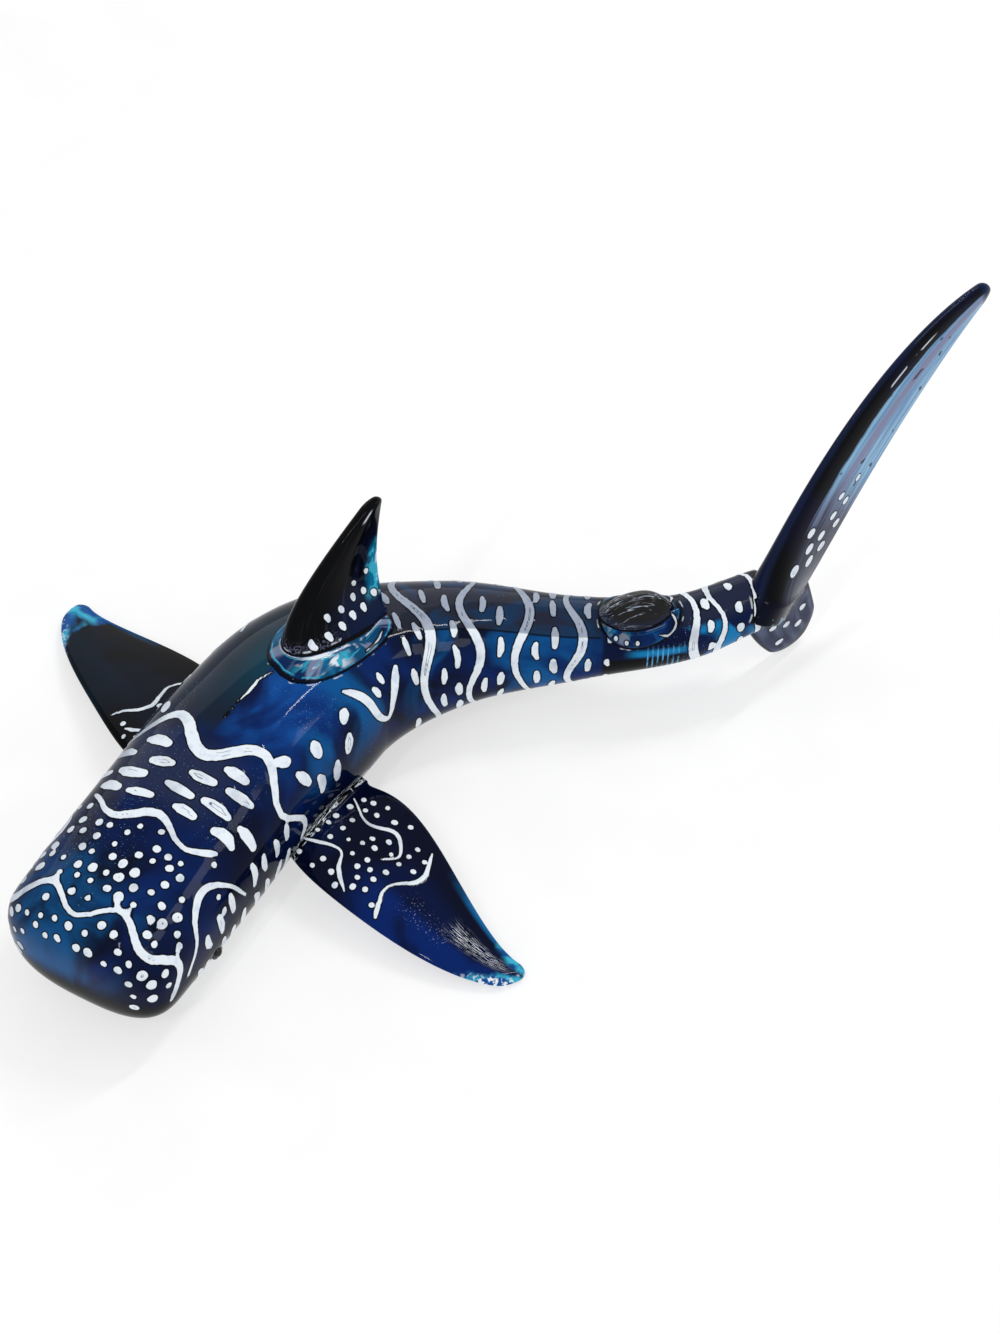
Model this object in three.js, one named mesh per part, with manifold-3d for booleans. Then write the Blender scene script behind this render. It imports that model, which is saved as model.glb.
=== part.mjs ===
// Glass whale shark figurine, made as at the furnace: a blown, hollow body with bits of hot glass
// set on it for the fins, the two tail lobes and the eyes. Millimetres, +Z up.
// It rests on a flat ground into its belly and leans on the tips of its pectoral fins.
// Its head is towards -X and its left side towards -Y.
import * as THREE from "three";
import { mergeVertices } from "three/addons/utils/BufferGeometryUtils.js";
import Module from "manifold-3d";

// Glass
const SEAM = 0.3; // clearance between two bits of glass where they meet
const TRUNK_WALL = 5; // blown wall of the head and trunk
const STEM_WALL = 6; // thicker wall where the bubble is drawn out into the tail stem
const SNOUT_WALL = 12; // solid glass in front of the bubble
const GROUND_DEPTH = 1.8; // ground off the belly so that the shark stands

// Body: its run seen from above, then its width, height and lift from snout to tail stem
const BODY_REACH = 299; // snout to the end of the stem, straight across
const BODY_BOW = 69; // how far the back bows out to the shark's right
const SNOUT_WIDTH = 68;
const SNOUT_HEIGHT = 46;
const SNOUT_LIFT = 5;
const HEAD_WIDTH = 70;
const HEAD_HEIGHT = 55;
const HEAD_LIFT = 2; // throat above the floor
const TRUNK_WIDTH = 70;
const TRUNK_HEIGHT = 64;
const WAIST_WIDTH = 50;
const WAIST_HEIGHT = 46;
const WAIST_LIFT = 6.5;
const STEM_WIDTH = 30;
const STEM_HEIGHT = 30;
const STEM_LIFT = 16;
const STEM_END_WIDTH = 21;
const STEM_END_HEIGHT = 24;
const STEM_END_LIFT = 28;
const SNOUT_ROUNDING = 20; // length over which the snout rounds off
const SNOUT_SQUARENESS = 3.6; // bluntness of that rounding
const BUBBLE_ROUNDING = 20; // the same for the front of the bubble
const HEAD_SQUARENESS = 2.7; // power of the section's curve: 2 is an ellipse, more is squarer
const STEM_SQUARENESS = 2.1;

// Pectoral fins: both are drawn alike, and each has its own length, sweep and S
const PECTORAL_SEAT = 112; // along the back from the snout
const PECTORAL_SEAT_ANGLE = -22; // below the widest line of the flank
const PECTORAL_ROOT_CHORD = 39.5;
const PECTORAL_CHORD = 54.5; // at its widest, a little way out
const PECTORAL_TIP_CHORD = 9.5;
const PECTORAL_THICKNESS = 9;
const PECTORAL_TIP_THICKNESS = 5;
const PECTORAL_TIP_HEIGHT = 1.7; // middle of a tip above the floor, which its underside all but meets
const PECTORAL_SWAY = 42; // how strongly the blade sways back and then forward, as a long S
const PECTORAL_HOOK = 3.5; // curl of the tip towards the rear
const PECTORAL_FLARE = 3; // how far the fused root spreads over the flank
const LEFT_SPAN = 96;
const LEFT_SWEEP = -9; // degrees towards the tail
const LEFT_CROSSING = 0.32; // share of the span where the S crosses the fin's straight line
const RIGHT_SPAN = 99;
const RIGHT_SWEEP = 22;
const RIGHT_CROSSING = 0.64;

// First dorsal fin, on a lens of clear glass
const DORSAL_SEAT = 158;
const DORSAL_SPAN = 50;
const DORSAL_ROOT_CHORD = 43;
const DORSAL_CHORD = 48; // at its widest, a little way up
const DORSAL_TIP_CHORD = 6;
const DORSAL_RAKE = 25.5; // tip behind the middle of the base
const DORSAL_THICKNESS = 17;
const DORSAL_SPREAD = 16; // added thickness at the base, where soft glass has slumped on the foot
const DORSAL_LEAN = 6.5; // middle of that base to the left of the ridge
const DORSAL_TIP_THICKNESS = 6;
const DORSAL_FOOT_SEAT = 155;
const DORSAL_FOOT_LENGTH = 56;
const DORSAL_FOOT_WIDTH = 27; // over the curve of the back
const DORSAL_FOOT_LEAN = 5; // middle of the foot to the left of the ridge
const DORSAL_FOOT_PROUD = 4; // top of the foot above the back

// Second dorsal fin, a low blunt cap on a foot of its own
const REAR_DORSAL_SEAT = 279.5;
const REAR_DORSAL_SPAN = 10.5;
const REAR_DORSAL_ROOT_CHORD = 27;
const REAR_DORSAL_CHORD = 27;
const REAR_DORSAL_TIP_CHORD = 14;
const REAR_DORSAL_RAKE = 3;
const REAR_DORSAL_THICKNESS = 16;
const REAR_DORSAL_LEAN = 1.5; // how far all of it lies to the left of the ridge
const REAR_DORSAL_TIP_THICKNESS = 9;
const REAR_DORSAL_EDGE = 14; // glass at its rear edge, which is not thin as on the other fins
const REAR_FOOT_SEAT = 280;
const REAR_FOOT_LENGTH = 31;
const REAR_FOOT_WIDTH = 28;
const REAR_FOOT_LEAN = 2;
const REAR_FOOT_PROUD = 2.4;

// Tail fin
const TAIL_YAW = 21; // degrees that both lobes turn to the shark's right of the stem
const HUB_LENGTH = 8; // from the end of the stem to the seat of the upper lobe
const UPPER_LOBE_REACH = 101; // tip behind the seat
const UPPER_LOBE_RISE = 97; // tip above the seat
const UPPER_LOBE_START = 61; // degrees above level at which the blade leaves its hub
const UPPER_LOBE_FINISH = 16; // degrees above level at its tip
const UPPER_LOBE_EASE = 1 / 3; // share of its length over which each end keeps its own heading
const UPPER_LOBE_ROOT_CHORD = 34;
const UPPER_LOBE_CHORD = 40; // at its widest, a little way out
const UPPER_LOBE_TIP_CHORD = 9;
const HUB_THICKNESS = 23; // the upper lobe's root, which covers the end of the stem
const UPPER_LOBE_THICKNESS = 11;
const UPPER_LOBE_TIP_THICKNESS = 6;
const LOWER_LOBE_SEAT = 6; // behind the end of the stem
const LOWER_LOBE_SPAN = 42;
const LOWER_LOBE_PITCH = -68;
const LOWER_LOBE_CHORD = 33;
const LOWER_LOBE_TIP_CHORD = 22;
const LOWER_LOBE_THICKNESS = 10;
const LOWER_LOBE_TIP_THICKNESS = 5;
const LOWER_LOBE_HOOK = 3; // curl of the tip towards the rear

// Fins in general
const FIN_EDGE = 2.6; // glass at the thin trailing edge of any other fin
const FIN_ROOT = 14; // how deep a fin is drawn before the glass under it is cut away
const LOBE_ROOT = 10; // the same for the upper tail lobe
const FOOT_ROOT = 3; // the same for a foot
const RIDGE_FLARE = 1.5; // how far the root of any other fin spreads

// Curves of the fins, each a power of the share of the span: the higher, the later it sets in
const PECTORAL_TAPER = 1.5; // a pectoral fin narrows towards its tip
const LOBE_TAPER = 3.5; // the upper lobe does so later
const LEAF_TAPER = 2; // as does the lower one
const RIDGE_TAPER = 1.4;
const RIDGE_THINNING = 0.7;
const RAKE_CURVE = 1.6;
const DROOP_CURVE = 1.3; // a pectoral fin sinks towards the floor
const HOOK_CURVE = 16; // its tip curls only at the very end
const PECTORAL_NECKING = 8; // the same from the root: how soon the neck has become the full blade
const LOBE_NECKING = 8;
const HUB_NECKING = 10;
const RIDGE_NECKING = 9;
const SLUMP = 5; // the same for the slumped glass at the base of a ridge fin

// Eyes
const EYE_SEAT = 38;
const EYE_ANGLE = -20;
const EYE_DIAMETER = 4.6;
const EYE_PROUD = 1.6; // how far a bead stands out of the head

// Fineness of the surfaces
const BODY_SIDES = 40;
const BODY_RINGS = 36;
const BUBBLE_RINGS = 20;
const NOSE_RINGS = 7;
const FIN_SIDES = 22;
const FIN_RINGS = 12;
const RING_CROWDING = 1.2; // over 1 sets the rings closer near a fin's root
const TIP_RINGS = 4;
const EYE_SIDES = 12;
const FOOT_SIDES = 32;
const FOOT_RINGS = 6;

const UP = new THREE.Vector3(0, 0, 1);
const LEFT = -1;
const RIGHT = 1;
const { degToRad, lerp, clamp } = THREE.MathUtils;
const wasm = await Module();
wasm.setup();

// The body's run from snout to stem. Each row is a share of the reach and a share of the bow.
const BODY_RUN = [
  [0, 0.05],
  [0.17, 0.43],
  [0.34, 0.8],
  [0.49, 1],
  [0.64, 0.87],
  [0.78, 0.5],
  [0.9, 0.18],
  [1, 0.075],
];

// The body's sections. "at" is a share of its length.
const SECTIONS = [
  { at: 0, width: SNOUT_WIDTH, height: SNOUT_HEIGHT, lift: SNOUT_LIFT, wall: TRUNK_WALL },
  { at: 0.15, width: HEAD_WIDTH, height: HEAD_HEIGHT, lift: HEAD_LIFT, wall: TRUNK_WALL },
  { at: 0.34, width: TRUNK_WIDTH, height: TRUNK_HEIGHT, lift: -GROUND_DEPTH, wall: TRUNK_WALL },
  { at: 0.44, width: TRUNK_WIDTH, height: TRUNK_HEIGHT, lift: -GROUND_DEPTH, wall: TRUNK_WALL },
  { at: 0.62, width: WAIST_WIDTH, height: WAIST_HEIGHT, lift: WAIST_LIFT, wall: TRUNK_WALL },
  { at: 0.8, width: STEM_WIDTH, height: STEM_HEIGHT, lift: STEM_LIFT, wall: STEM_WALL },
  { at: 1, width: STEM_END_WIDTH, height: STEM_END_HEIGHT, lift: STEM_END_LIFT, wall: STEM_WALL },
];

// A size that runs smoothly through the sections, as a function of the share of the length.
function through(size) {
  const places = SECTIONS.map((section) => section.at);
  const values = SECTIONS.map((section) => section[size]);
  const curve = new THREE.CubicInterpolant(places, values, 1);
  return (at) => curve.evaluate(at)[0];
}

const widthAt = through("width");
const heightAt = through("height");
const liftAt = through("lift");
const wallAt = through("wall");

const bodyRun = new THREE.CatmullRomCurve3(
  BODY_RUN.map(([reach, bow]) => new THREE.Vector3(reach * BODY_REACH, bow * BODY_BOW, 0)),
);
const bodyLength = bodyRun.getLength();

// The body's section at a distance along the back, which may lie a little off either end.
function bodySection(distance) {
  const at = clamp(distance / bodyLength, 0, 1);
  const tail = bodyRun.getTangentAt(at);
  const middle = bodyRun.getPointAt(at).addScaledVector(tail, distance - at * bodyLength);
  middle.z = liftAt(at) + heightAt(at) / 2;
  return {
    middle,
    tail,
    right: new THREE.Vector3().crossVectors(UP, tail).normalize(),
    power: 2 / lerp(HEAD_SQUARENESS, STEM_SQUARENESS, at),
    halfWidth: widthAt(at) / 2,
    halfHeight: heightAt(at) / 2,
    wall: wallAt(at),
  };
}

// A share of a circle's cosine or sine, made squarer by a power under one.
function squared(value, power) {
  return Math.sign(value) * Math.abs(value) ** power;
}

// A point of the body, at an angle that runs from its right side over its back.
// The inset moves it into the glass, and the share draws the section in towards its middle.
function bodyPoint(distance, angle, inset = 0, share = 1) {
  const section = bodySection(distance);
  const across = squared(Math.cos(angle), section.power) * (section.halfWidth - inset) * share;
  const above = squared(Math.sin(angle), section.power) * (section.halfHeight - inset) * share;
  return section.middle.addScaledVector(section.right, across).addScaledVector(UP, above);
}

// Rings of the body from a rounded nose at a distance behind the snout to the end of the stem.
function bodyRings(nose, rounding, count, insetAt) {
  const ring = (distance, share) =>
    Array.from({ length: BODY_SIDES }, (_, side) => {
      const angle = (side / BODY_SIDES) * 2 * Math.PI;
      return bodyPoint(distance, angle, insetAt(distance), share);
    });
  const rings = [];
  for (let i = 1; i < NOSE_RINGS; i += 1) {
    const turn = (i / NOSE_RINGS) * (Math.PI / 2);
    const behind = 1 - squared(Math.cos(turn), 2 / SNOUT_SQUARENESS);
    rings.push(ring(nose + behind * rounding, squared(Math.sin(turn), 2 / SNOUT_SQUARENESS)));
  }
  for (let i = 0; i <= count; i += 1) {
    rings.push(ring(lerp(nose + rounding, bodyLength, i / count), 1));
  }
  return rings;
}

// A closed surface through rings of equal count, drawn to a point at each end.
function loft(first, rings, last) {
  const sides = rings[0].length;
  const points = [first, ...rings.flat(), last];
  const lastRing = points.length - 1 - sides;
  const faces = [];
  for (let side = 0; side < sides; side += 1) {
    const next = (side + 1) % sides;
    faces.push(0, 1 + next, 1 + side);
    for (let here = 1; here < lastRing; here += sides) {
      const there = here + sides;
      faces.push(here + side, here + next, there + next);
      faces.push(here + side, there + next, there + side);
    }
    faces.push(lastRing + side, lastRing + next, points.length - 1);
  }
  return new THREE.BufferGeometry().setFromPoints(points).setIndex(faces);
}

// A closed geometry as a solid that can be cut.
function solidOf(geometry) {
  const bare = geometry.clone();
  bare.deleteAttribute("normal");
  bare.deleteAttribute("uv");
  const merged = mergeVertices(bare);
  return new wasm.Manifold(
    new wasm.Mesh({
      numProp: 3,
      vertProperties: merged.attributes.position.array,
      triVerts: new Uint32Array(merged.index.array),
    }),
  );
}

// The body's outside as a full solid, let out all round by a clearance.
function bodyOutside(clearance) {
  const rings = bodyRings(-clearance, SNOUT_ROUNDING, BODY_RINGS, () => -clearance);
  const end = bodySection(bodyLength);
  const beyond = rings.at(-1).map((point) => point.clone().addScaledVector(end.tail, clearance));
  const tip = end.middle.addScaledVector(end.tail, clearance);
  return solidOf(loft(bodySection(-clearance).middle, [...rings, beyond], tip));
}

// The blown body: its outside, then the bubble inside it, open at the end of the stem.
function blownBody() {
  const outside = bodyRings(0, SNOUT_ROUNDING, BODY_RINGS, () => 0);
  const wall = (distance) => bodySection(distance).wall;
  const bubble = bodyRings(SNOUT_WALL, BUBBLE_ROUNDING, BUBBLE_RINGS, wall).reverse();
  const glass = loft(bodySection(0).middle, [...outside, ...bubble], bodySection(SNOUT_WALL).middle);
  return solidOf(glass);
}

// A block under the floor, which grinds the belly flat.
function grindstone() {
  const size = 2 * BODY_REACH;
  const block = new THREE.BoxGeometry(size, size, TRUNK_HEIGHT);
  return solidOf(block.translate(BODY_REACH / 2, 0, -TRUNK_HEIGHT / 2));
}

// A section of a fin: full in front and thin at its trailing edge.
function finSection({ middle, back, across }, chord, thickness, rearEdge) {
  const edge = Math.min(rearEdge / thickness, 1);
  return Array.from({ length: FIN_SIDES }, (_, side) => {
    const angle = (side / FIN_SIDES) * 2 * Math.PI;
    const fullness = lerp(1, edge, (1 + Math.cos(angle)) / 2);
    return middle
      .clone()
      .addScaledVector(back, (Math.cos(angle) * chord) / 2)
      .addScaledVector(across, (Math.sin(angle) * thickness * fullness) / 2);
  });
}

// A fin along its spine, with a rounded tip, let out all round by a clearance.
// "spineAt" gives the middle and the directions of a section at a distance from the seat.
function finOutside(fin, clearance = 0) {
  const { spineAt, span, root, flare, chordAt, thicknessAt, edge = FIN_EDGE } = fin;
  const section = (distance, width) => {
    const share = Math.max(distance / span, 0);
    const spread = flare * Math.exp((-2 * Math.max(distance, 0)) / flare);
    const chord = (chordAt(share) + 2 * spread) * width + 2 * clearance;
    const thickness = (thicknessAt(share) + 2 * spread) * width + 2 * clearance;
    return finSection(spineAt(distance), chord, thickness, edge);
  };
  const rings = root > 0 ? [section(-root, 1)] : [];
  const tipLength = chordAt(1) / 2;
  for (let i = 0; i <= FIN_RINGS; i += 1) {
    rings.push(section((span - tipLength) * (i / FIN_RINGS) ** RING_CROWDING, 1));
  }
  for (let i = 1; i < TIP_RINGS; i += 1) {
    const turn = (i / TIP_RINGS) * (Math.PI / 2);
    rings.push(section(span - tipLength * (1 - Math.sin(turn)), Math.cos(turn)));
  }
  return solidOf(loft(spineAt(-root).middle, rings, spineAt(span + clearance).middle));
}

// The spine of a fin that runs straight out from its seat, but for a bend given at a share of its span.
function straightSpine(seat, out, back, span, bend) {
  const across = new THREE.Vector3().crossVectors(out, back).normalize();
  return (distance) => {
    const middle = seat.clone().addScaledVector(out, distance);
    return { middle: middle.add(bend(clamp(distance / span, 0, 1))), back, across };
  };
}

// A pectoral fin, level at its root and sinking to the floor at its tip.
function pectoral(side, span, sweep, crossing) {
  const { tail, right } = bodySection(PECTORAL_SEAT);
  const low = degToRad(PECTORAL_SEAT_ANGLE);
  const seat = bodyPoint(PECTORAL_SEAT, side === RIGHT ? low : Math.PI - low);
  const drop = seat.z - PECTORAL_TIP_HEIGHT;
  const turn = degToRad(sweep);
  const outward = right.multiplyScalar(side);
  const out = outward.clone().multiplyScalar(Math.cos(turn)).addScaledVector(tail, Math.sin(turn));
  const back = tail.multiplyScalar(Math.cos(turn)).addScaledVector(outward, -Math.sin(turn));
  const bend = (share) => {
    const sway = PECTORAL_SWAY * share * (1 - share) * (crossing - share);
    const hook = PECTORAL_HOOK * share ** HOOK_CURVE;
    const backward = back.clone().multiplyScalar(sway + hook);
    return backward.addScaledVector(UP, -drop * share ** DROOP_CURVE);
  };
  const neck = PECTORAL_CHORD - PECTORAL_ROOT_CHORD;
  return {
    spineAt: straightSpine(seat, out, back, span, bend),
    span,
    root: FIN_ROOT,
    flare: PECTORAL_FLARE,
    chordAt: (share) =>
      lerp(PECTORAL_CHORD, PECTORAL_TIP_CHORD, share ** PECTORAL_TAPER) -
      neck * (1 - share) ** PECTORAL_NECKING,
    thicknessAt: (share) => lerp(PECTORAL_THICKNESS, PECTORAL_TIP_THICKNESS, share),
  };
}

// A fin on the ridge of the back, raked towards the tail. Its base leans to the left of the ridge.
// The lean fades towards the tip by a power, or not at all.
function ridgeFin(spec) {
  const { seat, span, rake, rootChord, chord, tipChord } = spec;
  const { thickness, tipThickness, spread = 0, lean, leanFade = 0, edge } = spec;
  const { tail, right } = bodySection(seat);
  const bend = (share) => {
    const backward = tail.clone().multiplyScalar(rake * share ** RAKE_CURVE);
    return backward.addScaledVector(right, -lean * (1 - share) ** leanFade);
  };
  return {
    spineAt: straightSpine(bodyPoint(seat, Math.PI / 2), UP, tail, span, bend),
    span,
    root: FIN_ROOT,
    flare: RIDGE_FLARE,
    chordAt: (share) =>
      lerp(chord, tipChord, share ** RIDGE_TAPER) -
      (chord - rootChord) * (1 - share) ** RIDGE_NECKING,
    thicknessAt: (share) =>
      lerp(thickness, tipThickness, share ** RIDGE_THINNING) +
      spread * (1 - share) ** SLUMP,
    edge,
  };
}

// The foot under a fin: a lens of glass that follows the curve of the back.
function ridgeFoot({ seat, length, width, lean, proud }, clearance = 0) {
  const girth = bodySection(seat).halfWidth;
  const ring = (radius, height) =>
    Array.from({ length: FOOT_SIDES }, (_, side) => {
      const turn = (side / FOOT_SIDES) * 2 * Math.PI;
      const distance = seat + Math.cos(turn) * radius * (length / 2 + clearance);
      const leftward = lean - Math.sin(turn) * radius * (width / 2 + clearance);
      return bodyPoint(distance, Math.PI / 2 + leftward / girth, -height);
    });
  const rings = [ring(1, -FOOT_ROOT)];
  for (let i = 0; i < FOOT_RINGS; i += 1) {
    const turn = (i / FOOT_RINGS) * (Math.PI / 2);
    rings.push(ring(Math.cos(turn), Math.sin(turn) * proud + clearance));
  }
  const top = bodyPoint(seat, Math.PI / 2 + lean / girth, -proud - clearance);
  return solidOf(loft(bodyPoint(seat, Math.PI / 2 + lean / girth, FOOT_ROOT), rings, top));
}

// The heading of both tail lobes, seen from above.
function tailHeading() {
  return bodySection(bodyLength).tail.applyAxisAngle(UP, degToRad(TAIL_YAW));
}

// A direction in the upright plane of the tail fin, pitched above level.
function pitched(pitch) {
  const rise = degToRad(pitch);
  return tailHeading().multiplyScalar(Math.cos(rise)).addScaledVector(UP, Math.sin(rise));
}

// The upper lobe: a blade that sweeps up from the hub over the end of the stem.
function upperLobe() {
  const end = bodySection(bodyLength);
  const seat = end.middle.addScaledVector(end.tail, HUB_LENGTH);
  const tip = seat.clone().addScaledVector(tailHeading(), UPPER_LOBE_REACH);
  tip.addScaledVector(UP, UPPER_LOBE_RISE);
  const handle = seat.distanceTo(tip) * UPPER_LOBE_EASE;
  const leaving = seat.clone().addScaledVector(pitched(UPPER_LOBE_START), handle);
  const arriving = tip.clone().addScaledVector(pitched(UPPER_LOBE_FINISH), -handle);
  const path = new THREE.CubicBezierCurve3(seat, leaving, arriving, tip);
  const span = path.getLength();
  const across = new THREE.Vector3().crossVectors(UP, tailHeading());
  const neck = UPPER_LOBE_CHORD - UPPER_LOBE_ROOT_CHORD;
  const swell = HUB_THICKNESS - UPPER_LOBE_THICKNESS;
  return {
    spineAt: (distance) => {
      const share = clamp(distance / span, 0, 1);
      const out = path.getTangentAt(share);
      const point = path.getPointAt(share).addScaledVector(out, distance - share * span);
      return { middle: point, back: new THREE.Vector3().crossVectors(across, out), across };
    },
    span,
    root: LOBE_ROOT,
    flare: RIDGE_FLARE,
    chordAt: (share) =>
      lerp(UPPER_LOBE_CHORD, UPPER_LOBE_TIP_CHORD, share ** LOBE_TAPER) -
      neck * (1 - share) ** LOBE_NECKING,
    thicknessAt: (share) =>
      lerp(UPPER_LOBE_THICKNESS, UPPER_LOBE_TIP_THICKNESS, share) +
      swell * (1 - share) ** HUB_NECKING,
  };
}

// The lower lobe: a short rounded leaf under the hub.
function lowerLobe() {
  const { middle, tail } = bodySection(bodyLength);
  const seat = middle.addScaledVector(tail, LOWER_LOBE_SEAT);
  const out = pitched(LOWER_LOBE_PITCH);
  const back = pitched(LOWER_LOBE_PITCH + 90);
  const bend = (share) => back.clone().multiplyScalar(LOWER_LOBE_HOOK * share ** LEAF_TAPER);
  return {
    spineAt: straightSpine(seat, out, back, LOWER_LOBE_SPAN, bend),
    span: LOWER_LOBE_SPAN,
    root: 0,
    flare: RIDGE_FLARE,
    chordAt: (share) => lerp(LOWER_LOBE_CHORD, LOWER_LOBE_TIP_CHORD, share ** LEAF_TAPER),
    thicknessAt: (share) => lerp(LOWER_LOBE_THICKNESS, LOWER_LOBE_TIP_THICKNESS, share),
  };
}

// An eye bead, or its socket when it is let out by a clearance.
function eye(side, clearance = 0) {
  const low = degToRad(EYE_ANGLE);
  const { right } = bodySection(EYE_SEAT);
  const radius = EYE_DIAMETER / 2;
  const middle = bodyPoint(EYE_SEAT, side === RIGHT ? low : Math.PI - low);
  middle.addScaledVector(right, side * (EYE_PROUD - radius));
  const bead = new THREE.SphereGeometry(radius + clearance, EYE_SIDES, EYE_SIDES / 2);
  return solidOf(bead.translate(...middle));
}

// What is left of a piece once others are cut from it, less any sliver that comes loose.
function cut(solid, ...others) {
  const left = others.reduce((rest, other) => rest.subtract(other), solid);
  return left.decompose().reduce((a, b) => (a.volume() > b.volume() ? a : b));
}

// Finishes: the colour that each glass shows, its roughness and how much it mirrors
const bodyGlass = { color: 0x07285c, roughness: 0.06, metalness: 0 };
const footGlass = { color: 0x0b5a86, roughness: 0.05, metalness: 0 };
const finGlass = { color: 0x081a3a, roughness: 0.07, metalness: 0 };
const tailGlass = { color: 0x10203f, roughness: 0.08, metalness: 0 };
const blackGlass = { color: 0x050608, roughness: 0.05, metalness: 0 };

// A named piece of glass, with its own origin at the middle of its box.
function piece(name, solid, glass) {
  const { vertProperties, triVerts } = solid.getMesh();
  const geometry = new THREE.BufferGeometry();
  geometry.setAttribute("position", new THREE.BufferAttribute(vertProperties, 3));
  geometry.setIndex(new THREE.BufferAttribute(triVerts, 1));
  geometry.computeBoundingBox();
  const origin = geometry.boundingBox.getCenter(new THREE.Vector3());
  geometry.translate(-origin.x, -origin.y, -origin.z);
  const mesh = new THREE.Mesh(geometry, new THREE.MeshStandardMaterial(glass));
  mesh.name = name;
  mesh.position.copy(origin);
  return mesh;
}

const firstDorsal = ridgeFin({
  seat: DORSAL_SEAT,
  span: DORSAL_SPAN,
  rake: DORSAL_RAKE,
  rootChord: DORSAL_ROOT_CHORD,
  chord: DORSAL_CHORD,
  tipChord: DORSAL_TIP_CHORD,
  thickness: DORSAL_THICKNESS,
  tipThickness: DORSAL_TIP_THICKNESS,
  spread: DORSAL_SPREAD,
  lean: DORSAL_LEAN,
  leanFade: SLUMP,
});

const secondDorsal = ridgeFin({
  seat: REAR_DORSAL_SEAT,
  span: REAR_DORSAL_SPAN,
  rake: REAR_DORSAL_RAKE,
  rootChord: REAR_DORSAL_ROOT_CHORD,
  chord: REAR_DORSAL_CHORD,
  tipChord: REAR_DORSAL_TIP_CHORD,
  thickness: REAR_DORSAL_THICKNESS,
  tipThickness: REAR_DORSAL_TIP_THICKNESS,
  lean: REAR_DORSAL_LEAN,
  edge: REAR_DORSAL_EDGE,
});

const firstFoot = {
  seat: DORSAL_FOOT_SEAT,
  length: DORSAL_FOOT_LENGTH,
  width: DORSAL_FOOT_WIDTH,
  lean: DORSAL_FOOT_LEAN,
  proud: DORSAL_FOOT_PROUD,
};

const secondFoot = {
  seat: REAR_FOOT_SEAT,
  length: REAR_FOOT_LENGTH,
  width: REAR_FOOT_WIDTH,
  lean: REAR_FOOT_LEAN,
  proud: REAR_FOOT_PROUD,
};

const skin = bodyOutside(SEAM);
const upper = upperLobe();

const body = cut(blownBody(), grindstone(), eye(LEFT, SEAM), eye(RIGHT, SEAM));
const leftPectoral = cut(finOutside(pectoral(LEFT, LEFT_SPAN, LEFT_SWEEP, LEFT_CROSSING)), skin);
const rightPectoral = cut(finOutside(pectoral(RIGHT, RIGHT_SPAN, RIGHT_SWEEP, RIGHT_CROSSING)), skin);
const firstDorsalFoot = cut(ridgeFoot(firstFoot), skin);
const firstDorsalFin = cut(finOutside(firstDorsal), skin, ridgeFoot(firstFoot, SEAM));
const secondDorsalFoot = cut(ridgeFoot(secondFoot), skin);
const secondDorsalFin = cut(finOutside(secondDorsal), skin, ridgeFoot(secondFoot, SEAM));
const upperTailLobe = cut(finOutside(upper), skin);
const lowerTailLobe = cut(finOutside(lowerLobe()), skin, finOutside(upper, SEAM));

const shark = new THREE.Group();
shark.add(
  piece("body", body, bodyGlass),
  piece("left_pectoral_fin", leftPectoral, finGlass),
  piece("right_pectoral_fin", rightPectoral, finGlass),
  piece("first_dorsal_foot", firstDorsalFoot, footGlass),
  piece("first_dorsal_fin", firstDorsalFin, finGlass),
  piece("second_dorsal_foot", secondDorsalFoot, footGlass),
  piece("second_dorsal_fin", secondDorsalFin, blackGlass),
  piece("upper_tail_lobe", upperTailLobe, tailGlass),
  piece("lower_tail_lobe", lowerTailLobe, tailGlass),
  piece("left_eye", eye(LEFT), blackGlass),
  piece("right_eye", eye(RIGHT), blackGlass),
);

// The origin is on the floor under the middle of the whole figurine.
const box = new THREE.Box3().setFromObject(shark);
const middle = box.getCenter(new THREE.Vector3());
shark.position.set(-middle.x, -middle.y, -box.min.z);

export default shark;
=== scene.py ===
"""Looks of the glass whale shark.

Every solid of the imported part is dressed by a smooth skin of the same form, laid in rings along the
body or the fin that it follows. Markings are drawn on a skin as strokes, kept as a distance on each
vertex, and stand a little proud of the glass. Sizes are in millimetres until a mesh is made, and in
metres in the finishes.
"""

import logging
import math
from dataclasses import dataclass, field
from enum import Enum
from functools import partial
from typing import Callable, Optional, Sequence

import bpy
import numpy as np
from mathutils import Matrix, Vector
from mathutils.bvhtree import BVHTree


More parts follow.
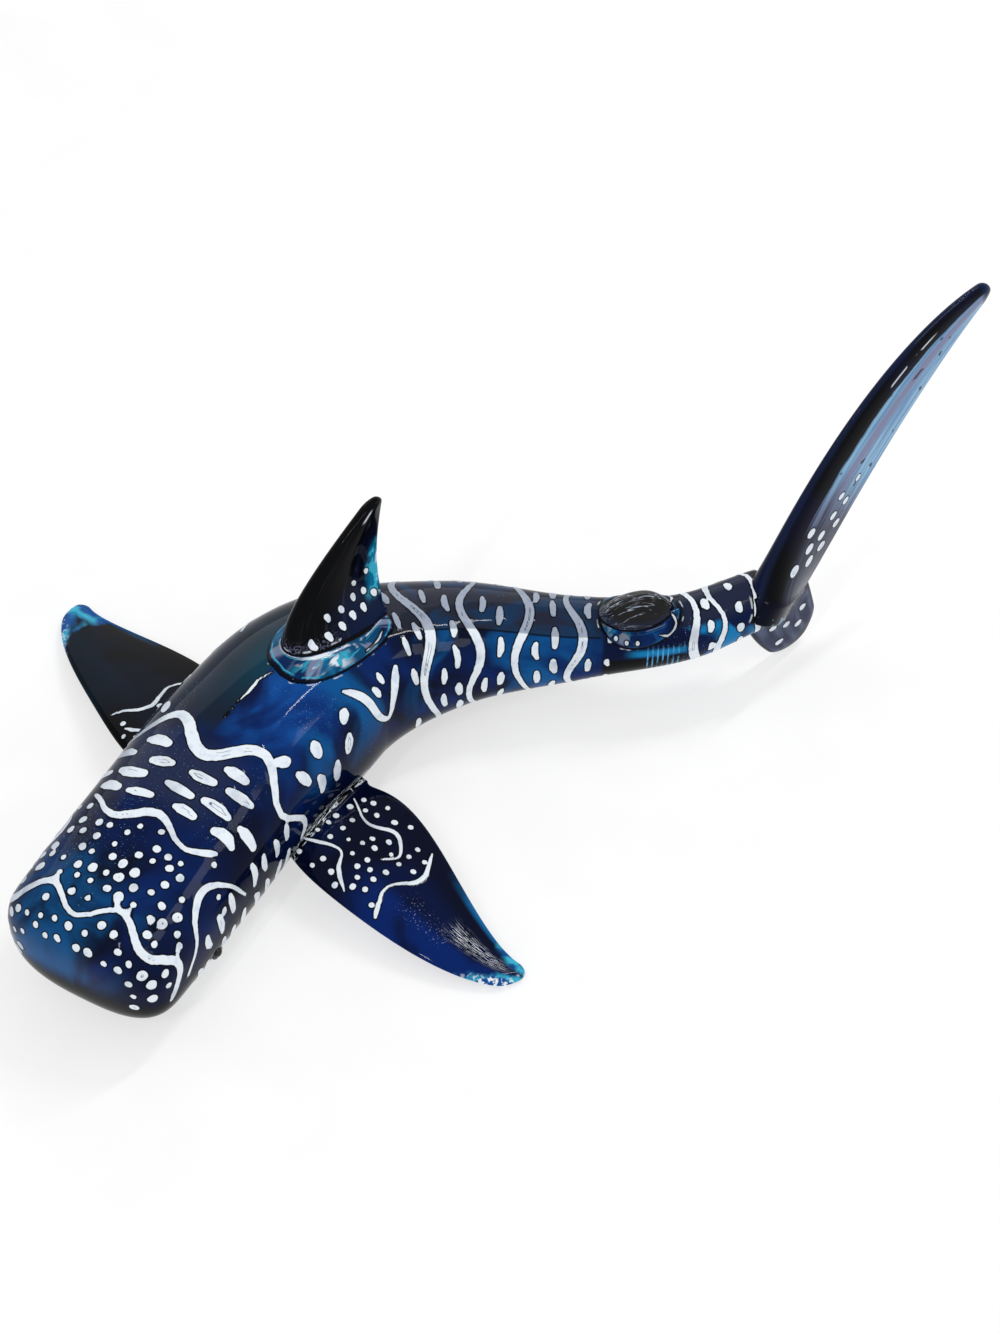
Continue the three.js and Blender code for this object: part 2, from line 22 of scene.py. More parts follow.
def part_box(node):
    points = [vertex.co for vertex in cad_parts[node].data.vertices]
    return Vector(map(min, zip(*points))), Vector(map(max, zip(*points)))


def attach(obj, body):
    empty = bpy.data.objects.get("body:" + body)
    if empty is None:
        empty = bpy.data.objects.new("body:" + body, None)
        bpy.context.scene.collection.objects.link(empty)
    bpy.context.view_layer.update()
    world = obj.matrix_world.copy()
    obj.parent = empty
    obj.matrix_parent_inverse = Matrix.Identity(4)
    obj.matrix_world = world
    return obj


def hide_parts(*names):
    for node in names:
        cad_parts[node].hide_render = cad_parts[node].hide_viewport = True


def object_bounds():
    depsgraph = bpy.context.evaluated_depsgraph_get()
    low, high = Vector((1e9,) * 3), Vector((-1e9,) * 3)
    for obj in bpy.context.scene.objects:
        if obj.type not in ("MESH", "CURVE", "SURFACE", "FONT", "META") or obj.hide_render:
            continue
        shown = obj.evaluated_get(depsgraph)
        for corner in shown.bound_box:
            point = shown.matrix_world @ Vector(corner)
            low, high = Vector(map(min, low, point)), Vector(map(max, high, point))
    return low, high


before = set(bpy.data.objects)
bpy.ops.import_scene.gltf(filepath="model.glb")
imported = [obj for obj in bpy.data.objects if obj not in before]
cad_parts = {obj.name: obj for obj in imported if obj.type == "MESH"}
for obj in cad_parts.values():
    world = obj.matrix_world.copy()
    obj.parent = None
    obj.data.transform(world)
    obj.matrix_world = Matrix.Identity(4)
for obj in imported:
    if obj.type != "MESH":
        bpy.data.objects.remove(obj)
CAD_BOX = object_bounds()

log = logging.getLogger("whale_shark")

MM = 0.001
BOX = np.array(CAD_BOX) / MM  # the lowest and highest corner that the looks keep within
UP = np.array([0.0, 0.0, 1.0])
ANGLE_STEPS = 720  # fine steps from which a ring's vertices are picked
FLUTE_STEP = 0.0018  # metres from one flute beside the second foot to the next
TINY = 1e-9  # a length taken as none, which also keeps a division from failing

Colour = tuple[float, float, float, float]
Number = float | np.ndarray
Axes = tuple[np.ndarray, np.ndarray, np.ndarray]
Spine = Callable[[np.ndarray], Axes]


class Side(Enum):
    """The shark's own left or right."""

    LEFT = -1
    RIGHT = 1


# Numbers and curves


def srgb(red: int, green: int, blue: int) -> Colour:
    """Turns a colour as it looks on screen into the linear colour that a socket takes.

    Args:
        red: from 0 to 255.
        green: from 0 to 255.
        blue: from 0 to 255.

    Returns:
        The linear colour and its opacity.
    """

    def linear(value: float) -> float:
        """One channel."""
        share = value / 255
        return share / 12.92 if share <= 0.04045 else ((share + 0.055) / 1.055) ** 2.4

    return (linear(red), linear(green), linear(blue), 1.0)


def lerp(low: Number, high: Number, share: Number) -> Number:
    """The value a share of the way from low to high."""
    return low + (high - low) * share


def arrays(*values: Number) -> Sequence[np.ndarray]:
    """Values as arrays of one shape."""
    return np.broadcast_arrays(*(np.asarray(value, float) for value in values))


def squared(value: np.ndarray, power: Number) -> np.ndarray:
    """A cosine or sine made squarer by a power under one."""
    return np.sign(value) * np.abs(value) ** power


def unit(vectors: np.ndarray) -> np.ndarray:
    """Vectors scaled to a length of one."""
    return vectors / np.linalg.norm(vectors, axis=-1, keepdims=True)


def turned(vector: np.ndarray, degrees: float) -> np.ndarray:
    """Turns a vector about the upright.

    Args:
        vector: the vector.
        degrees: how far, anticlockwise from above.

    Returns:
        The turned vector.
    """
    angle = math.radians(degrees)
    cos, sin = math.cos(angle), math.sin(angle)
    return np.array([cos * vector[0] - sin * vector[1], sin * vector[0] + cos * vector[1], vector[2]])


def through(places: np.ndarray, values: np.ndarray, at: np.ndarray) -> np.ndarray:
    """A smooth cubic run through values at uneven places.

    Args:
        places: where each value holds, in rising order.
        values: the values.
        at: where to read the run.

    Returns:
        The run at each place asked for.
    """
    at = np.clip(at, places[0], places[-1])
    i1 = np.clip(np.searchsorted(places, at, side="right"), 1, len(places) - 1)
    i0 = i1 - 1
    t0, t1 = places[i0], places[i1]
    first, last = i0 == 0, i1 == len(places) - 1
    before = np.where(first, i1, i0 - 1)
    after = np.where(last, i0, np.minimum(i1 + 1, len(places) - 1))
    half = (t1 - t0) / 2
    weight_before = half / (t0 - np.where(first, t1, places[before]))
    weight_after = half / (np.where(last, t0, places[after]) - t1)
    p = (at - t0) / (t1 - t0)
    pp, ppp = p * p, p * p * p
    s_before = weight_before * (-ppp + 2 * pp - p)
    s0 = (1 + weight_before) * ppp + (-1.5 - 2 * weight_before) * pp + (-0.5 + weight_before) * p + 1
    s1 = (-1 - weight_after) * ppp + (1.5 + weight_after) * pp + 0.5 * p
    s_after = weight_after * (ppp - pp)
    return s_before * values[before] + s0 * values[i0] + s1 * values[i1] + s_after * values[after]


def spline_points(knots: np.ndarray, steps: int = 400) -> np.ndarray:
    """Points of the smooth line through knots, close enough together to measure its length.

    Args:
        knots: the points it goes through.
        steps: how many steps each span takes.

    Returns:
        The points in order.
    """
    ends = np.vstack([2 * knots[0] - knots[1], knots, 2 * knots[-1] - knots[-2]])
    share = np.linspace(0, 1, steps, endpoint=False)[:, None]
    spans = []
    for p0, p1, p2, p3 in zip(ends, ends[1:], ends[2:], ends[3:]):
        d0, d1, d2 = (np.linalg.norm(b - a) ** 0.5 for a, b in ((p0, p1), (p1, p2), (p2, p3)))
        m1 = ((p1 - p0) / d0 - (p2 - p0) / (d0 + d1) + (p2 - p1) / d1) * d1
        m2 = ((p2 - p1) / d1 - (p3 - p1) / (d1 + d2) + (p3 - p2) / d2) * d1
        c2 = -3 * p1 + 3 * p2 - 2 * m1 - m2
        c3 = 2 * p1 - 2 * p2 + m1 + m2
        spans.append(p1 + m1 * share + c2 * share**2 + c3 * share**3)
    return np.vstack([*spans, knots[-1:]])


@dataclass
class Line:
    """A smooth line that can be read at a distance along it."""

    points: np.ndarray

    def __post_init__(self) -> None:
        """Measures the line."""
        steps = np.linalg.norm(np.diff(self.points, axis=0), axis=1)
        self.lengths = np.concatenate([[0], np.cumsum(steps)])
        self.length = float(self.lengths[-1])
        self.headings = unit(np.gradient(self.points, self.lengths, axis=0))

    def read(self, distance: np.ndarray) -> tuple[np.ndarray, np.ndarray]:
        """Reads the line, which runs straight on past either end.

        Args:
            distance: distances along it.

        Returns:
            Points and headings.
        """
        held = np.clip(distance, 0, self.length)
        point = np.stack([np.interp(held, self.lengths, axis) for axis in self.points.T], -1)
        heading = unit(np.stack([np.interp(held, self.lengths, axis) for axis in self.headings.T], -1))
        return point + heading * (distance - held)[..., None], heading


# Forms, the same ones that the solids have


@dataclass(frozen=True)
class Sizes:
    """One section of the body: its place as a share of the length, and its sizes."""

    at: float
    width: float
    height: float
    lift: float


@dataclass
class BodyForm:
    """The body's run and sections.

    Attributes:
        reach: how far it runs from snout to stem, seen from above.
        bow: how far it bows to the side.
        run: points of its centre line, as shares of reach and bow.
        sections: its sizes along the way.
        head_squareness: power of the section at the head, 2 being an ellipse.
        stem_squareness: the same at the stem.
        rounding: how far back the snout is rounded.
        snout_squareness: power of that rounding.
    """

    reach: float = 299
    bow: float = 69
    run: tuple[tuple[float, float], ...] = (
        *((0, 0.05), (0.17, 0.43), (0.34, 0.8), (0.49, 1)),
        *((0.64, 0.87), (0.78, 0.5), (0.9, 0.18), (1, 0.075)),
    )
    sections: tuple[Sizes, ...] = (
        Sizes(0, 68, 46, 5),
        Sizes(0.15, 70, 55, 2),
        Sizes(0.34, 70, 64, -1.8),
        Sizes(0.44, 70, 64, -1.8),
        Sizes(0.62, 50, 46, 6.5),
        Sizes(0.8, 30, 30, 16),
        Sizes(1, 21, 24, 28),
    )
    head_squareness: float = 2.7
    stem_squareness: float = 2.1
    rounding: float = 20
    snout_squareness: float = 3.6

    def __post_init__(self) -> None:
        """Draws the centre line."""
        knots = np.array([[x * self.reach, y * self.bow, 0] for x, y in self.run], float)
        self.line = Line(spline_points(knots))
        self.length = self.line.length

    def size(self, name: str, share: np.ndarray) -> np.ndarray:
        """Reads one of the section's sizes.

        Args:
            name: its name.
            share: shares of the length.

        Returns:
            The size at each.
        """
        places = np.array([section.at for section in self.sections], float)
        values = np.array([getattr(section, name) for section in self.sections], float)
        return through(places, values, share)

    def axes(self, distance: Number) -> Axes:
        """Reads where the sections lie.

        Args:
            distance: distances from the snout.

        Returns:
            The middle of each section, and the directions to the tail and to the right.
        """
        distance = np.asarray(distance, float)
        share = np.clip(distance / self.length, 0, 1)
        middle, tail = self.line.read(distance)
        middle = middle.copy()
        middle[..., 2] = self.size("lift", share) + self.size("height", share) / 2
        right = unit(np.cross(UP, tail))
        return middle, tail, right

    def point(
        self, distance: Number, angle: Number, proud: Number = 0.0, share: Number = 1.0
    ) -> np.ndarray:
        """Points of the skin.

        Args:
            distance: along the back, from the snout.
            angle: from the right side over the back, in radians.
            proud: how far outside the glass.
            share: how far from the middle, 1 being the full section.

        Returns:
            The points.
        """
        distance, angle, proud, share = arrays(distance, angle, proud, share)
        middle, _, right = self.axes(distance)
        at = np.clip(distance / self.length, 0, 1)
        power = 2 / lerp(self.head_squareness, self.stem_squareness, at)
        across = squared(np.cos(angle), power) * (self.size("width", at) / 2 + proud) * share
        above = squared(np.sin(angle), power) * (self.size("height", at) / 2 + proud) * share
        return middle + right * across[..., None] + UP * above[..., None]

    def flank(self, distance: float, degrees: float, side: Side) -> np.ndarray:
        """A point on one flank, at degrees above level."""
        angle = math.radians(degrees)
        return self.point(distance, angle if side is Side.RIGHT else math.pi - angle)


BODY = BodyForm()


@dataclass
class FinForm:
    """A fin drawn along its spine.

    Attributes:
        spine: gives the middle, and the directions to the rear edge and across, at distances.
        span: root to tip.
        root: how deep it is drawn into what carries it.
        chord: the fin's length from front to rear, at shares of the span.
        thickness: the same across it.
        flare: how far its root spreads.
        edge: glass at the thin rear edge.
    """

    spine: Spine
    span: float
    root: float
    chord: Callable[[np.ndarray], np.ndarray]
    thickness: Callable[[np.ndarray], np.ndarray]
    flare: float = 1.5
    edge: float = 2.6

    def sizes(self, distance: np.ndarray) -> tuple[np.ndarray, np.ndarray]:
        """Reads the fin's sizes.

        Args:
            distance: distances from the seat.

        Returns:
            Chord and thickness at each.
        """
        share = np.clip(distance / self.span, 0, 1)
        spread = 2 * self.flare * np.exp(-2 * np.maximum(distance, 0) / self.flare)
        return self.chord(share) + spread, self.thickness(share) + spread

    def point(self, distance: Number, angle: Number, width: Number = 1.0) -> np.ndarray:
        """Points of the skin.

        Args:
            distance: from the seat.
            angle: from the rear edge, in radians.
            width: the share of its full width.

        Returns:
            The points.
        """
        distance, angle, width = arrays(distance, angle, width)
        middle, back, across = self.spine(distance)
        chord, thickness = self.sizes(distance)
        chord, thickness = chord * width, thickness * width
        edge = np.minimum(self.edge / np.maximum(thickness, TINY), 1)
        fullness = lerp(1, edge, (1 + np.cos(angle)) / 2)
        out = (np.cos(angle) * chord / 2)[..., None] * back
        return middle + out + (np.sin(angle) * thickness * fullness / 2)[..., None] * across


def straight_spine(
    seat: np.ndarray,
    out: np.ndarray,
    back: np.ndarray,
    span: float,
    bend: Callable[[np.ndarray], np.ndarray],
) -> Spine:
    """The spine of a fin that runs straight out, but for a bend.

    Args:
        seat: where it starts.
        out: the way to the tip.
        back: the way to the rear edge.
        span: root to tip.
        bend: how far the middle strays, at shares of the span.

    Returns:
        The spine.
    """
    across = unit(np.cross(out, back))

    def spine(distance: np.ndarray) -> Axes:
        """Middle, direction to the rear edge and direction across, at distances."""
        middle = seat + distance[..., None] * out + bend(np.clip(distance / span, 0, 1)[..., None])
        return middle, np.broadcast_to(back, middle.shape), np.broadcast_to(across, middle.shape)

    return spine


@dataclass(frozen=True)
class PectoralSizes:
    """The sizes of a pectoral fin.

    Attributes:
        side: which of the two.
        span: root to tip.
        sweep: degrees towards the tail.
        crossing: share of the span where the S of the blade crosses its straight line.
        seat: along the back, from the snout.
        angle: where on the flank it sits, in degrees above level.
        tip_lift: how high the middle of its tip lies.
        sway: how far the S of the blade swings.
        hook: how far the tip hooks back.
    """

    side: Side
    span: float
    sweep: float
    crossing: float
    seat: float = 112
    angle: float = -22
    tip_lift: float = 1.7
    sway: float = 42
    hook: float = 3.5


def pectoral_form(sizes: PectoralSizes) -> FinForm:
    """A pectoral fin, level at its root and sinking to the floor at its tip.

    Args:
        sizes: its sizes.

    Returns:
        The fin's form.
    """
    _, tail, right = BODY.axes(sizes.seat)
    seat = BODY.flank(sizes.seat, sizes.angle, sizes.side)
    drop = seat[2] - sizes.tip_lift
    turn = math.radians(sizes.sweep)
    outward = right * sizes.side.value
    out = outward * math.cos(turn) + tail * math.sin(turn)
    back = tail * math.cos(turn) - outward * math.sin(turn)

    def bend(share: np.ndarray) -> np.ndarray:
        """Sway, hooked tip and droop."""
        backward = sizes.sway * share * (1 - share) * (sizes.crossing - share) + sizes.hook * share**16
        return back * backward - UP * drop * share**1.3

    return FinForm(
        spine=straight_spine(seat, out, back, sizes.span, bend),
        span=sizes.span,
        root=6,
        flare=3,
        chord=lambda share: lerp(54.5, 9.5, share**1.5) - 15 * (1 - share) ** 8,
        thickness=lambda share: lerp(9, 5, share),
    )


@dataclass(frozen=True)
class RidgeSizes:
    """The sizes of a fin on the ridge of the back.

    Attributes:
        seat: along the back, from the snout.
        span: root to tip.
        rake: how far the tip lies behind the middle of the base.
        chords: its length from front to rear at the root, at its widest and at the tip.
        thickness: the same across it, at the root and at the tip.
        lean: how far its base lies to the left of the ridge.
        fade: the power by which the lean fades towards the tip, none keeping all of it.
        spread: thickness that slumped glass adds at the root.
        edge: glass at the rear edge.
    """

    seat: float
    span: float
    rake: float
    chords: tuple[float, float, float]
    thickness: tuple[float, float]
    lean: float
    fade: float = 0
    spread: float = 0
    edge: float = 2.6


def ridge_form(sizes: RidgeSizes) -> FinForm:
    """A fin on the ridge of the back, raked towards the tail.

    Args:
        sizes: its sizes.

    Returns:
        The fin's form.
    """
    _, tail, right = BODY.axes(sizes.seat)
    root, wide, tip = sizes.chords

    def bend(share: np.ndarray) -> np.ndarray:
        """Rake and lean."""
        return tail * sizes.rake * share**1.6 - right * sizes.lean * (1 - share) ** sizes.fade

    return FinForm(
        spine=straight_spine(BODY.point(sizes.seat, math.pi / 2), UP, tail, sizes.span, bend),
        span=sizes.span,
        root=6,
        chord=lambda share: lerp(wide, tip, share**1.4) - (wide - root) * (1 - share) ** 9,
        thickness=lambda share: lerp(*sizes.thickness, share**0.7) + sizes.spread * (1 - share) ** 5,
        edge=sizes.edge,
    )


def tail_heading() -> np.ndarray:
    """The heading of both tail lobes, seen from above."""
    return turned(BODY.axes(BODY.length)[1], 21)


def pitched(degrees: float) -> np.ndarray:
    """A direction in the upright plane of the tail fin, at degrees above level."""
    rise = math.radians(degrees)
    return tail_heading() * math.cos(rise) + UP * math.sin(rise)


def upper_lobe_form() -> FinForm:
    """The upper tail lobe, a blade that sweeps up from its hub.

    Returns:
        The lobe's form.
    """
    behind, height = 101, 97  # where the tip lies from the seat
    middle, tail, _ = BODY.axes(BODY.length)
    seat = middle + tail * 8
    tip = seat + tail_heading() * behind + UP * height
    handle = np.linalg.norm(tip - seat) / 3
    leaving, arriving = seat + pitched(61) * handle, tip - pitched(16) * handle
    t = np.linspace(0, 1, 800)[:, None]
    rising = (1 - t) ** 3 * seat + 3 * (1 - t) ** 2 * t * leaving
    line = Line(rising + 3 * (1 - t) * t**2 * arriving + t**3 * tip)
    across = unit(np.cross(UP, tail_heading()))

    def spine(distance: np.ndarray) -> Axes:
        """Middle, direction to the rear edge and direction across, at distances."""
        point, out = line.read(distance)
        return point, np.cross(across, out), np.broadcast_to(across, point.shape)

    return FinForm(
        spine=spine,
        span=line.length,
        root=9,
        chord=lambda share: lerp(40, 9, share**3.5) - 6 * (1 - share) ** 8,
        thickness=lambda share: lerp(11, 6, share) + 12 * (1 - share) ** 10,
    )


def lower_lobe_form() -> FinForm:
    """The lower tail lobe, a short rounded leaf under the hub.

    Returns:
        The lobe's form.
    """
    middle, tail, _ = BODY.axes(BODY.length)
    out, back, span = pitched(-68), pitched(22), 42.0
    return FinForm(
        spine=straight_spine(middle + tail * 6, out, back, span, lambda share: back * 3 * share**2),
        span=span,
        root=0,
        chord=lambda share: lerp(33, 22, share**2),
        thickness=lambda share: lerp(10, 5, share),
    )


# Skins


def ring_angles(
    points: np.ndarray, angles: np.ndarray, sides: int, crowding: float = 0
) -> tuple[np.ndarray, np.ndarray, np.ndarray]:
    """Angles that divide each ring into sides, of equal length or closer together at its middle.

    Args:
        points: fine points of each ring.
        angles: the angle of each fine point.
        sides: how many sides a ring gets.
        crowding: how much closer together the sides lie at the ring's middle.

    Returns:
        The angles, the share of the ring at which each lies, and each ring's length.
    """
    steps = np.linalg.norm(np.diff(points, axis=1), axis=2)
    round_by = np.concatenate([np.zeros((len(points), 1)), np.cumsum(steps, axis=1)], axis=1)
    wanted = np.linspace(0, 1, sides + 1)
    wanted = wanted + crowding * np.sin(2 * math.pi * wanted)
    even = lerp(angles[0], angles[-1], wanted)
    picked = [
        np.interp(wanted * ring[-1], ring, angles) if ring[-1] > TINY else even
        for ring in round_by
    ]
    return np.stack(picked), wanted, round_by[:, -1]


@dataclass
class Skin:
    """A closed surface laid in rings, with the two measures by which a place on it is named.

    Attributes:
        name: the piece's name.
        points: rings by sides, the last side repeating the first.
        along: the first measure of each point, in millimetres.
        around: the second.
        shares: for a fin, the share of the span and of the half chord at each point.
        weld: how far apart two vertices may lie and still be joined, in metres.
    """

    name: str
    points: np.ndarray
    along: np.ndarray
    around: np.ndarray
    shares: Optional[np.ndarray] = None
    weld: float = 2e-6

    def build(self, shift: np.ndarray) -> bpy.types.Object:
        """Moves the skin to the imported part, rolls a flat grid up into it, and closes and smooths that.

        Args:
            shift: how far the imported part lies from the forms' own origin.

        Returns:
            The piece.
        """
        self.points = self.points + shift
        rings, sides = self.points.shape[:2]
        bpy.ops.object.select_all(action="DESELECT")
        bpy.ops.mesh.primitive_grid_add(x_subdivisions=sides - 1, y_subdivisions=rings - 1, size=1)
        piece = bpy.context.object
        piece.name = piece.data.name = self.name
        piece.data.vertices.foreach_set("co", (np.clip(self.points, *BOX) * MM).ravel())
        corners = np.zeros(len(piece.data.loops), np.int64)
        piece.data.loops.foreach_get("vertex_index", corners)
        self._map(piece, "skin", np.stack([self.along, self.around], -1) * MM, corners)
        if self.shares is not None:
            self._map(piece, "share", self.shares, corners)
        bpy.ops.object.mode_set(mode="EDIT")
        bpy.ops.mesh.select_all(action="SELECT")
        bpy.ops.mesh.remove_doubles(threshold=self.weld)
        bpy.ops.mesh.normals_make_consistent(inside=False)
        bpy.ops.object.mode_set(mode="OBJECT")
        bpy.ops.object.shade_smooth()
        return piece

    @staticmethod
    def _map(piece: bpy.types.Object, name: str, places: np.ndarray, corners: np.ndarray) -> None:
        """Writes a UV map from one place for each grid vertex."""
        layer = piece.data.uv_layers.get(name) or piece.data.uv_layers.new(name=name)
        layer.data.foreach_set("uv", places.reshape(-1, 2)[corners].astype(np.float32).ravel())

    def at(self, along: float, around: float) -> np.ndarray:
        """Finds a point of the skin.

        Args:
            along: its first measure.
            around: its second.

        Returns:
            The point.
        """
        column = self.along[:, self.along.shape[1] // 2]
        ring = float(np.interp(along, column, np.arange(len(column))))
        low = min(int(ring), len(column) - 2)

        def on(index: int) -> np.ndarray:
            """Finds the point on one ring.

            Args:
                index: the ring.

            Returns:
                The point.
            """
            place = float(np.interp(around, self.around[index], np.arange(self.around.shape[1])))
            left = min(int(place), self.around.shape[1] - 2)
            return lerp(self.points[index, left], self.points[index, left + 1], place - left)

        return lerp(on(low), on(low + 1), ring - low)


def body_skin(name: str, rings: int, sides: int, nose_rings: int) -> Skin:
    """The blown body's outside, closed at the snout and where it enters the tail's hub.

    Its measures are the way along the ridge from the snout's tip, and round from the ridge,
    growing towards the right side. The seam lies along the belly.

    Args:
        name: the piece's name.
        rings: rings behind the snout's rounding.
        sides: sides of a ring.
        nose_rings: rings of the rounding.

    Returns:
        The skin.
    """
    turn = np.linspace(0, math.pi / 2, nose_rings, endpoint=False)
    power = 2 / BODY.snout_squareness
    nose = (1 - np.cos(turn) ** power) * BODY.rounding
    distance = np.concatenate([nose, np.linspace(BODY.rounding, BODY.length, rings), [BODY.length]])
    share = np.concatenate([np.sin(turn) ** power, np.ones(rings), [0]])
    angles = np.linspace(1.5 * math.pi, -0.5 * math.pi, ANGLE_STEPS + 1)
    fine = BODY.point(distance[:, None], angles[None, :], 0, share[:, None])
    picked, wanted, girth = ring_angles(fine, angles, sides, 0.05)
    points = BODY.point(distance[:, None], picked, 0, share[:, None])
    around = (wanted[None, :] - 0.5) * girth[:, None]
    ridge = points[:, sides // 2]
    steps = np.linalg.norm(np.diff(ridge, axis=0), axis=1)
    along = np.concatenate([[0], np.cumsum(steps)])
    return Skin(name, points, np.repeat(along[:, None], sides + 1, 1), around)


def fin_skin(name: str, form: FinForm, rings: int, sides: int, tip_rings: int = 16) -> Skin:
    """A fin's skin, whose measures are the way out from the seat and the way back from its middle.

    The angle runs a full turn from the rear edge, so the second measure names a place only together
    with a face.

    Args:
        name: the piece's name.
        form: the fin's form.
        rings: rings up to the tip's rounding.
        sides: sides of a ring.
        tip_rings: rings of the rounding.

    Returns:
        The skin.
    """
    tip = float(form.chord(np.array(1.0))) / 2
    turn = np.linspace(0, math.pi / 2, tip_rings + 1)
    blade = np.linspace(-form.root, form.span - tip, rings)
    distance = np.concatenate([[-form.root], blade, form.span - tip * (1 - np.sin(turn[1:]))])
    width = np.concatenate([[0], np.ones(rings), np.cos(turn[1:])])
    angles = np.linspace(0, 2 * math.pi, ANGLE_STEPS + 1)
    fine = form.point(distance[:, None], angles[None, :], width[:, None])
    picked, _, _ = ring_angles(fine, angles, sides)
    points = form.point(distance[:, None], picked, width[:, None])
    half_chord = form.sizes(distance)[0][:, None] / 2
    along = np.repeat(distance[:, None], sides + 1, 1)
    around = np.cos(picked) * width[:, None] * half_chord
    shares = np.stack([along / form.span, around / half_chord], -1)
    return Skin(name, points, along, around, shares)


@dataclass(frozen=True)
class FootSizes:
    """The sizes of the lens of glass under a fin.

    Attributes:
        seat: along the back, from the snout.
        length: from front to rear.
        width: over the curve of the back.
        lean: how far its middle lies to the left of the ridge.
        proud: how far its top stands above the back.
    """

    seat: float
    length: float
    width: float
    lean: float
    proud: float

    @property
    def curve(self) -> float:
        """The radius by which the back curves under the lens."""
        return float(BODY.size("width", np.array(self.seat / BODY.length))) / 2


def foot_skin(name: str, sizes: FootSizes) -> Skin:
    """The lens of glass under a fin, which follows the curve of the back.

    Args:
        name: the piece's name.
        sizes: the lens's sizes.

    Returns:
        The skin. Its shares are that of its radius and how far round it a point lies.
    """
    dome = np.linspace(0, math.pi / 2, 26)
    radius = np.concatenate([[0, 0.6, 1], np.cos(dome)])[:, None]
    height = np.concatenate([[-3, -3, -3], np.sin(dome) * sizes.proud])[:, None]
    turn = np.linspace(0, 2 * math.pi, 161)[None, :]
    distance = sizes.seat + np.cos(turn) * radius * sizes.length / 2
    leftward = sizes.lean - np.sin(turn) * radius * sizes.width / 2
    points = BODY.point(distance, math.pi / 2 + leftward / sizes.curve, height)
    shares = np.stack(np.broadcast_arrays(radius, turn / (2 * math.pi)), -1)
    return Skin(name, points, distance, -leftward, shares)


# Drawn markings


@dataclass
class Stroke:
    """A stroke of the hand: points on the glass and half its width at each."""

    points: np.ndarray
    radii: np.ndarray


